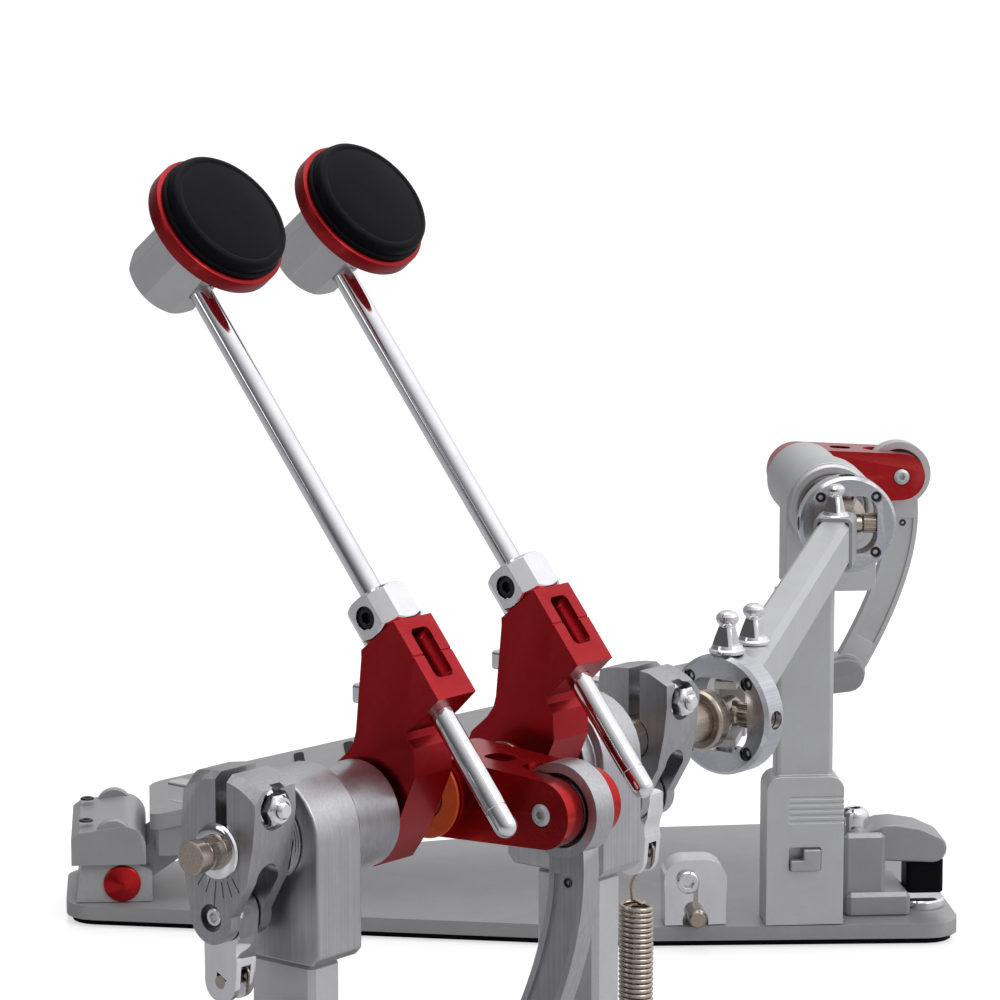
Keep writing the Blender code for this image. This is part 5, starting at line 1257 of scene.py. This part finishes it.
@dataclass
class DriveShaft:
    """The telescopic shaft with its forks and cone-shaped thumb bolts."""

    bench: Workbench
    place: Matrix = field(init=False)
    bolt_at: float = field(init=False)

    def __post_init__(self) -> None:
        """Read the shaft's line from its joint, and the bolt's place from its node."""
        turn = joint("drive_tube_turn")
        axis = Vector(turn["axis"])
        yaw = math.atan2(axis.y, axis.x)
        self.place = Matrix.Translation(turn["pos_m"]) @ Matrix.Rotation(yaw, 4, "Z")
        low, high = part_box("drive_shaft_thumb_bolt")
        self.bolt_at = (self.place.inverted() @ ((low + high) / 2)).x / MM

    def build(self) -> None:
        """Dress the tube and rod, and build the bolts."""
        self.bench.carry("drive_shaft_tube", Finishes.BLAST, 0.8, 3)
        self.bench.carry("drive_shaft_rod", Finishes.NICKEL, 0.4, 2)
        ring_top = self.place @ Matrix.Translation((0, 0, 22.6 * MM))
        self._thumb_bolt("outer_thumb_bolt", self.bolt_at, 10.6, "drive_tube_set", self.place,
                         ("drive_shaft_thumb_bolt",))
        self._thumb_bolt("middle_thumb_bolt", 80.0, 10.6, "drive_tube_set", self.place, ())
        self._thumb_bolt("ring_thumb_bolt", 0.0, 0.0, "inner_ring_set", ring_top, ())
        self._end_cap()

    def _thumb_bolt(self, name: str, along: float, base: float, body: str, place: Matrix,
                    replaces: tuple[str, ...]) -> None:
        """Cone with a flange below, three flats on it and a round knob on top."""
        bench = self.bench
        bolt = bench.turned(name, [(-3.2, 0), (-3.2, 2.6), (0, 2.6), (0, 6.3), (0.5, 6.8), (1.5, 6.8),
                                   (2.0, 6.1),
                                   (3.2, 5.6), (6.0, 4.7), (9.2, 3.5), (10.4, 3.0), (11.0, 3.1), (11.7, 3.8),
                                   (12.9, 4.3), (14.1, 4.2), (15.2, 3.4), (15.9, 2.0), (16.1, 0)],
                            (along, 0, base), (0, 0, 1), 56)
        for index in range(3):
            angle = math.radians(20 + 120 * index)
            flat = bench.brick("flat", (3.9, -6, 2.6), (9, 6, 9.6))
            flat.data.transform(Matrix.Translation((along, 0, base)) @ Matrix.Rotation(angle, 4, "Z")
                                @ Matrix.Rotation(math.radians(-9), 4, "Y"))
            bench.cut(bolt, flat)
        bench.fit(bolt, place, Finishes.CHROME, body, replaces, 0.25, 2)

    def _end_cap(self) -> None:
        """Clamp band at the tube's open end."""
        bench = self.bench
        corners = [(-9.0, -12.2), (9.0, -12.2), (9.0, 12.2), (-9.0, 12.2)]
        band = bench.prism("tube_end_band", rounded(corners, 3.2), self.bolt_at - 9.5, self.bolt_at + 9.5)
        inner = [(-7.4, -10.4), (7.4, -10.4), (7.4, 10.4), (-7.4, 10.4)]
        bench.cut(band, bench.prism("inside", rounded(inner, 2.0), self.bolt_at - 20, self.bolt_at + 20),
                  bench.bar("hole", (self.bolt_at, 0, 5), (self.bolt_at, 0, 30), 6.95))
        bench.fit(band, self.place, Finishes.SATIN, "drive_tube_set", edge=0.5, steps=2)


# ------------------------------------------------------------------ stands

@dataclass
class Stand:
    """What is fixed on one pedal's base plate, and its footboard."""

    bench: Workbench
    pedal: Pedal
    body: str
    casting: Finish
    plate: Finish
    jaw_x: float
    heel_y: float = -343.0
    heel_z: float = 20.0
    jaw_half: float = 12.0
    ribs: int = 9
    rib_first: float = 52.0
    rib_pitch: float = 26.0

    def build(self) -> None:
        """Build and dress the stand."""
        prefix = self.pedal.prefix
        bench = self.bench
        bench.carry(f"{prefix}_base_plate", self.plate, 1.1, 3)
        bench.carry(f"{prefix}_floor_pad", Finishes.RUBBER, 0.5, 2)
        bench.carry(f"{prefix}_heel_block", self.casting, 1.2, 3)
        bench.carry(f"{prefix}_heel_plate", self.casting, 1.6, 4)
        bench.carry(f"{prefix}_footboard", self.casting, 1.2, 3)
        self._heel_pin()
        self._heel_details()
        self._board_grip()
        self._jaw()

    def _heel_pin(self) -> None:
        """Hinge pin with a red conical cap at each end."""
        bench = self.bench
        half = 33.3
        profile = [(-half - 4.0, 0), (-half - 3.4, 1.9), (-half - 1.2, 8.4), (-half - 0.6, 9.2), (-half, 9.3),
                   (-half, 4), (half, 4), (half, 9.3), (half + 0.6, 9.2), (half + 1.2, 8.4),
                   (half + 3.4, 1.9), (half + 4.0, 0)]
        pin = bench.turned(f"{self.pedal.prefix}_heel_hinge_pin", profile, (0, self.heel_y, self.heel_z),
                           (1, 0, 0), 56)
        bench.fit(pin, self.pedal.floor, Finishes.RED_EAR, self.body, (f"{self.pedal.prefix}_heel_pin",), 0.2)

    def _heel_details(self) -> None:
        """Silver hinge bar, arched shoulders and screws beside the heel plate."""
        bench = self.bench
        prefix = self.pedal.prefix
        for side, sign in (("right", 1), ("left", -1)):
            spots = sorted((sign * 31.0, sign * 36.9))
            arch = arc((-347.0, 44.0), 9.2, -10, 190, 16)
            outline = arch + [(-357.5, 33.0), (-336.5, 33.0)]
            shoulder = bench.prism(f"{prefix}_heel_shoulder_{side}", outline, *spots)
            slit = bench.prism("slit", rounded([(-348.8, 36), (-345.4, 36), (-345.4, 49), (-348.8, 49)], 1.5),
                               sign * 35.6 - 1.6, sign * 35.6 + 3.2)
            bench.cut(shoulder, slit)
            bench.fit(shoulder, self.pedal.floor, self.casting, self.body, edge=0.8, steps=3)
            screw = bench.socket_screw(f"{prefix}_heel_screw_{side}", (sign * 24.0, -360.6, 50.0),
                                       (0, 0, 1), 3.6, 1.0)
            bench.fit(screw, self.pedal.floor, Finishes.BLACK_STEEL, self.body, edge=0.15)
        bar = bench.bar(f"{prefix}_hinge_bar", (-23.0, -326.4, 28.5), (23.0, -326.4, 28.5), 4.0)
        bench.fit(bar, self.pedal.floor, Finishes.TURNED, f"{prefix}_board_set", edge=0.4)

    def _board_grip(self) -> None:
        """Raised grip ribs across the footboard."""
        bench = self.bench
        prefix = self.pedal.prefix
        slope = math.atan2(69.0, 337.0)
        turn = (Matrix.Translation((0, -329.0, 55.0)) @ Matrix.Rotation(slope, 4, "X"))
        for index in range(self.ribs):
            along = self.rib_first + self.rib_pitch * index
            half = 26.0 + 0.02 * along
            corners = [(-half, along - 2.6), (half, along - 2.6), (half, along + 2.6), (-half, along + 2.6)]
            rib = bench.prism(f"{prefix}_grip_rib_{index + 1}", rounded(corners, 2.5), -0.6, 1.1, Lie.ALONG_Z)
            rib.data.transform(turn)
            bench.fit(rib, self.pedal.floor, Finishes.RUBBER, f"{prefix}_board_set", edge=0.5)

    def _jaw(self) -> None:
        """Hoop clamp: cast jaw, rubber block, chromed disc and socket bolt."""
        bench = self.bench
        prefix = self.pedal.prefix
        x = self.jaw_x
        half = self.jaw_half
        jaw = bench.prism(f"{prefix}_clamp_jaw",
                          [(56, 34.6)] + arc((56.5, 41.6), 7.0, -88, 62, 12) + [(50, 52.4), (38, 54.4),
                                                                                (31, 54.0)]
                          + arc((20.0, 44.0), 7.6, 70, 262, 18), x - half, x + half)
        bench.cut(jaw, bench.bar("bore", (x - 20, 20, 44), (x + 20, 20, 44), 2.8))
        bench.fit(jaw, self.pedal.floor, self.casting, f"{prefix}_jaw_set", (f"{prefix}_hoop_jaw",), 2.2, 4)
        corners = [(x - 9.5, 44.0), (x + 9.5, 44.0), (x + 9.5, 62.5), (x - 9.5, 62.5)]
        block = bench.prism(f"{prefix}_jaw_rubber", rounded(corners, 3.0), 18.5, 36.0, Lie.ALONG_Z)
        bench.fit(block, self.pedal.floor, Finishes.RUBBER, f"{prefix}_jaw_set", edge=1.2, steps=3)
        seat = bench.turned(f"{prefix}_clamp_disc",
                            [(10.2, 0), (10.2, 11.6), (10.9, 12.0), (14.0, 12.0), (14.9, 11.2), (15.0, 8.0),
                             (15.0, 0)],
                            (x, 52.6, 0), (0, 0, 1), 64)
        bench.fit(seat, self.pedal.floor, Finishes.CHROME, self.body, edge=0.2)
        bolt = bench.turned(f"{prefix}_clamp_bolt",
                            [(47, 0), (47, 6.8), (48.5, 7.4), (56.5, 7.4), (59.0, 6.4), (60.6, 4.2),
                             (60.6, 0)],
                            (x, 19.0, 0), (0, 0, 1), 56)
        socket = bench.bar("socket", (x, 19.0, 56.0), (x, 19.0, 70.0), 3.0, 6)
        bench.cut(bolt, socket)
        bench.fit(bolt, self.pedal.floor, Finishes.CHROME, f"{prefix}_jaw_set", edge=0.5, steps=3)


@dataclass
class PrimaryPosts:
    """The primary pedal's posts, housings and spring anchors."""

    bench: Workbench

    def build(self) -> None:
        """Dress both sides."""
        for side in ("right", "left"):
            self.bench.carry(f"{side}_post", Finishes.BLAST, 1.2, 3)
            self.bench.carry(f"{side}_housing", Finishes.SATIN, 1.0, 3)
            self.bench.carry(f"{side}_spring_adjuster", Finishes.NICKEL, 0.4, 2)


@dataclass
class SlavePost:
    """The slave pedal's post, housing, release button and side bracket."""

    bench: Workbench
    pedal: Pedal
    finish: Finish
    x: float = 94.0
    offset: float = -11.0
    foot_depth: float = 23.0
    foot_width: float = 38.0
    foot_top: float = 84.6
    top: float = 175.7
    grooves: int = 5
    groove_low: float = 61.5
    groove_pitch: float = 3.0
    bracket_x: float = 93.0
    bracket_y: float = -64.0

    def build(self) -> None:
        """Build and dress all of it."""
        self._post()
        self._housing()
        self._button()
        self._bracket()

    def _post(self) -> None:
        """Column on a wider foot with grip grooves and a stepped recess."""
        bench = self.bench
        base = 10.6
        half = self.foot_width / 2
        depth = self.foot_depth / 2
        outline = [(self.offset - half, base), (self.offset + half, base)]
        outline += arc((self.offset + half - 7, self.foot_top - 7), 7, 0, 90, 8)
        outline += arc((self.offset - half + 7, self.foot_top - 7), 7, 90, 180, 8)
        post = bench.prism("slave_column", outline, self.x - depth, self.x + depth)
        column = bench.prism("column", rounded([(self.x - 7.5, self.offset - 14),
                                                (self.x + 7.5, self.offset - 14),
                                                (self.x + 7.5, self.offset + 14),
                                                (self.x - 7.5, self.offset + 14)],
                                               2.6), self.foot_top - 2, self.top, Lie.ALONG_Z)
        bench.unite(post, column)
        face = self.x + depth
        tools = []
        for index in range(self.grooves):
            z = self.groove_low + self.groove_pitch * index
            tools.append(bench.brick("groove", (face - 0.8, self.offset - 8, z),
                                     (face + 5, self.offset + 30, z + 1.2)))
        corners = [(self.offset - 7.8, 37.7), (self.offset + 7.8, 37.7), (self.offset + 7.8, 49.3),
                   (self.offset - 7.8, 49.3)]
        tools.append(bench.prism("recess", rounded(corners, 1.2), face - 5.0, face + 5))
        bench.cut(post, *tools)
        bench.fit(post, self.pedal.floor, self.finish, "slave_frame", ("slave_post",), 0.9, 3)

    def _housing(self) -> None:
        """Arched housing with a raised round rim towards the joint."""
        bench = self.bench
        bench.carry("slave_housing", self.finish, 1.4, 3)
        face = self.x + 11.0
        rim = bench.turned("slave_bearing_rim",
                           [(face - 1.0, 16.6), (face - 1.0, 21.4), (face + 1.8, 21.4), (face + 3.2, 20.2),
                            (face + 3.2, 17.6), (face + 2.0, 16.6)], (0, 0, 0), (1, 0, 0), 80)
        bench.fit(rim, self.pedal.axle, self.finish, "slave_frame", edge=0.3)
        cover = bench.turned("slave_bearing_cover",
                             [(face - 0.5, 8.4), (face - 0.5, 16.4), (face + 0.6, 16.4), (face + 1.2, 15.6),
                              (face + 1.2, 11.0), (face + 2.2, 10.2), (face + 2.2, 8.4)], (0, 0, 0),
                              (1, 0, 0), 72)
        bench.fit(cover, self.pedal.axle, Finishes.TURNED, "slave_frame", edge=0.2)

    def _button(self) -> None:
        """Stepped release button."""
        bench = self.bench
        face = self.x + self.foot_depth / 2
        y = self.offset
        outline = [(y - 7.3, 38.2), (y + 7.3, 38.2), (y + 7.3, 48.8), (y - 1.0, 48.8), (y - 1.0, 43.6),
                   (y - 7.3, 43.6)]
        button = bench.prism("slave_push_button", outline, face - 1.8, face + 3.2)
        bench.fit(button, self.pedal.floor, Finishes.CAST, "button_set", ("slave_release_button",), 0.7, 3)

    def _bracket(self) -> None:
        """Chromed side bracket with a clamp dome, a socket bolt and a dark knob."""
        bench = self.bench
        x = self.bracket_x
        y = self.bracket_y
        low = 10.7
        outline = [(y - 15, low), (y + 15, low), (y + 15, low + 12)] + arc((y + 5, low + 22), 10.5, 0, 90, 8)
        outline += arc((y - 5, low + 22), 10.5, 90, 180, 8) + [(y - 15, low + 12)]
        bracket = bench.prism("slave_spur_bracket", outline, x - 8.5, x + 8.5)
        saddle = bench.bar("saddle", (x - 20, y, low + 2), (x + 20, y, low + 2), 6.4)
        slit = bench.brick("slit", (x - 20, y - 1.2, low + 3), (x + 20, y + 1.2, low + 18))
        bench.cut(bracket, saddle, slit)
        bench.fit(bracket, self.pedal.floor, Finishes.CHROME, "slave_frame", ("slave_side_bracket",), 1.6, 4)
        spur = bench.turned("slave_spur", [(-19, 0), (-13, 4.6), (17, 4.6), (19, 3.6), (19, 0)],
                            (x, y, low + 5.2), (1, 0, 0), 40)
        bench.fit(spur, self.pedal.floor, Finishes.NICKEL, "slave_frame", edge=0.3)
        screw = bench.socket_screw("slave_bracket_screw", (x + 8.2, y - 4, low + 22), (1, 0, 0), 5.6, 4.2)
        bench.fit(screw, self.pedal.floor, Finishes.CHROME, "slave_frame", edge=0.3)
        knob = bench.turned("slave_bracket_knob", [(30, 0), (30, 5.8), (31.5, 6.8), (36.5, 6.8), (38.4, 5.6),
                                                   (39.0, 3.0), (39.2, 0)], (x - 1, y + 3, 0), (0, 0, 1), 40)
        bench.fit(knob, self.pedal.floor, Finishes.BLACK_STEEL, "slave_frame", edge=0.4)


# ------------------------------------------------------------------ studio

@dataclass
class Studio:
    """Pale floor, white surround, soft lights and the camera."""

    yaw: float = 39.31
    pitch: float = 9.26
    spot: Spot = (1.1225, 0.9396, 0.5561)
    lens: float = 156.04
    floor_glow: float = 0.62
    backdrop: float = 1.02

    def build(self) -> None:
        """Set the whole studio up."""
        self._camera()
        self._floor()
        self._surround()
        self._lights()
        settings = bpy.context.scene.view_settings
        settings.view_transform = "Standard"
        settings.look = "None"

    def _camera(self) -> None:
        """Camera at the viewing angle, with a long lens."""
        data = bpy.data.cameras.new("camera")
        data.lens = self.lens
        data.sensor_width = 36.0
        data.clip_start = 0.05
        data.clip_end = 60.0
        camera = bpy.data.objects.new("camera", data)
        turn = math.radians(self.yaw)
        tilt = math.radians(self.pitch)
        ahead = Vector((-math.cos(turn) * math.cos(tilt), -math.sin(turn) * math.cos(tilt), -math.sin(tilt)))
        camera.location = self.spot
        camera.rotation_euler = ahead.to_track_quat("-Z", "Y").to_euler()
        bpy.context.scene.collection.objects.link(camera)
        bpy.context.scene.camera = camera

    def _floor(self) -> None:
        """Wide pale floor with a faint gloss, which glows only where it is seen directly."""
        shape = bmesh.new()
        bmesh.ops.create_grid(shape, x_segments=4, y_segments=4, size=9.0)
        mesh = bpy.data.meshes.new("studio_floor")
        shape.to_mesh(mesh)
        shape.free()
        floor = bpy.data.objects.new("studio_floor", mesh)
        floor.location = (-0.3, -0.2, -0.0004)
        bpy.context.scene.collection.objects.link(floor)
        material = bpy.data.materials.new("studio_floor_paint")
        material.use_nodes = True
        shader = material.node_tree.nodes["Principled BSDF"]
        shader.inputs["Base Color"].default_value = (0.50, 0.50, 0.51, 1)
        shader.inputs["Roughness"].default_value = 0.22
        shader.inputs["Emission Color"].default_value = (1, 1, 1, 1)
        path = material.node_tree.nodes.new("ShaderNodeLightPath")
        glow = material.node_tree.nodes.new("ShaderNodeMapRange")
        glow.inputs["To Min"].default_value = 0.0
        glow.inputs["To Max"].default_value = self.floor_glow
        material.node_tree.links.new(path.outputs["Is Camera Ray"], glow.inputs["Value"])
        material.node_tree.links.new(glow.outputs["Result"], shader.inputs["Emission Strength"])
        mesh.materials.append(material)

    def _surround(self) -> None:
        """White backdrop, and a soft gradient for whatever reflects it."""
        world = bpy.data.worlds.new("surround")
        world.use_nodes = True
        bpy.context.scene.world = world
        tree = world.node_tree
        tree.nodes.clear()
        output = tree.nodes.new("ShaderNodeOutputWorld")
        place = tree.nodes.new("ShaderNodeTexCoord")
        toward = tree.nodes.new("ShaderNodeVectorMath")
        toward.operation = "DOT_PRODUCT"
        toward.inputs[1].default_value = Vector((-0.55, 0.42, 0.72)).normalized()
        tree.links.new(place.outputs["Generated"], toward.inputs[0])
        spread = tree.nodes.new("ShaderNodeMapRange")
        spread.inputs["From Min"].default_value = -1.0
        tree.links.new(toward.outputs["Value"], spread.inputs["Value"])
        ramp = tree.nodes.new("ShaderNodeValToRGB")
        stops = ramp.color_ramp.elements
        stops[0].position = 0.0
        stops[0].color = (0.035, 0.035, 0.037, 1)
        stops[1].position = 1.0
        stops[1].color = (1.25, 1.25, 1.26, 1)
        for position, level in ((0.28, 0.13), (0.42, 0.27), (0.60, 0.52), (0.78, 0.86)):
            stop = stops.new(position)
            stop.color = (level, level, level * 1.015, 1)
        tree.links.new(spread.outputs["Result"], ramp.inputs["Fac"])
        dome = tree.nodes.new("ShaderNodeBackground")
        tree.links.new(ramp.outputs["Color"], dome.inputs["Color"])
        white = tree.nodes.new("ShaderNodeBackground")
        white.inputs["Color"].default_value = (1, 1, 1, 1)
        white.inputs["Strength"].default_value = self.backdrop
        path = tree.nodes.new("ShaderNodeLightPath")
        mix = tree.nodes.new("ShaderNodeMixShader")
        tree.links.new(path.outputs["Is Camera Ray"], mix.inputs[0])
        tree.links.new(dome.outputs[0], mix.inputs[1])
        tree.links.new(white.outputs[0], mix.inputs[2])
        tree.links.new(mix.outputs[0], output.inputs["Surface"])

    def _lights(self) -> None:
        """Three soft boxes."""
        self._soft_box("key_box", (-0.35, 1.5, 1.5), (-0.2, 0.0, 0.2), (1.1, 0.8), 10.0)
        self._soft_box("side_box", (1.6, -0.9, 0.9), (0.0, 0.0, 0.2), (0.5, 1.0), 2.5)
        self._soft_box("top_box", (-0.3, -0.2, 1.9), (-0.3, -0.2, 0.0), (1.6, 1.2), 9.0)

    @staticmethod
    def _soft_box(name: str, place: Spot, target: Spot, size: tuple[float, float], power: float) -> None:
        """Hang one soft box.

        Args:
            name: Its name.
            place: Where it hangs, in metres.
            target: What it points at, in metres.
            size: Its width and height, in metres.
            power: Its power in watts.
        """
        data = bpy.data.lights.new(name, "AREA")
        data.shape = "RECTANGLE"
        data.size = size[0]
        data.size_y = size[1]
        data.energy = power
        light = bpy.data.objects.new(name, data)
        light.location = place
        light.rotation_euler = (Vector(target) - Vector(place)).to_track_quat("-Z", "Y").to_euler()
        bpy.context.scene.collection.objects.link(light)


def main() -> None:
    """Build the studio and every sub-assembly in order."""
    logging.basicConfig(level=logging.INFO, format="%(name)s: %(message)s")
    Studio().build()
    bench = Workbench(FinishShop())
    primary, slave = pedals()
    Stand(bench, primary, "primary_frame", Finishes.CAST, Finishes.CAST, 0.0).build()
    Stand(bench, slave, "slave_frame", Finishes.PAINTED, Finishes.PAINTED, 70.0).build()
    PrimaryPosts(bench).build()
    SlavePost(bench, slave, Finishes.BLAST).build()
    for side, x in (("right", 37.2), ("left", -37.2)):
        Beater(bench, primary, side, x).build()
        SpringSide(bench, primary, side).build()
    DriveLinkage(bench, primary, "right_axle_set", Finishes.SATIN).build()
    DriveLinkage(bench, slave, "slave_axle_set", Finishes.BLAST).build()
    Axles(bench, primary, slave).build()
    RingJoint(bench, primary, "inner", "inner_joint_ring", -158.8, "left_axle_set").build()
    RingJoint(bench, slave, "outer", "outer_joint_ring", 150.0, "slave_axle_set").build()
    DriveShaft(bench).build()


if __name__ == "__main__":
    main()
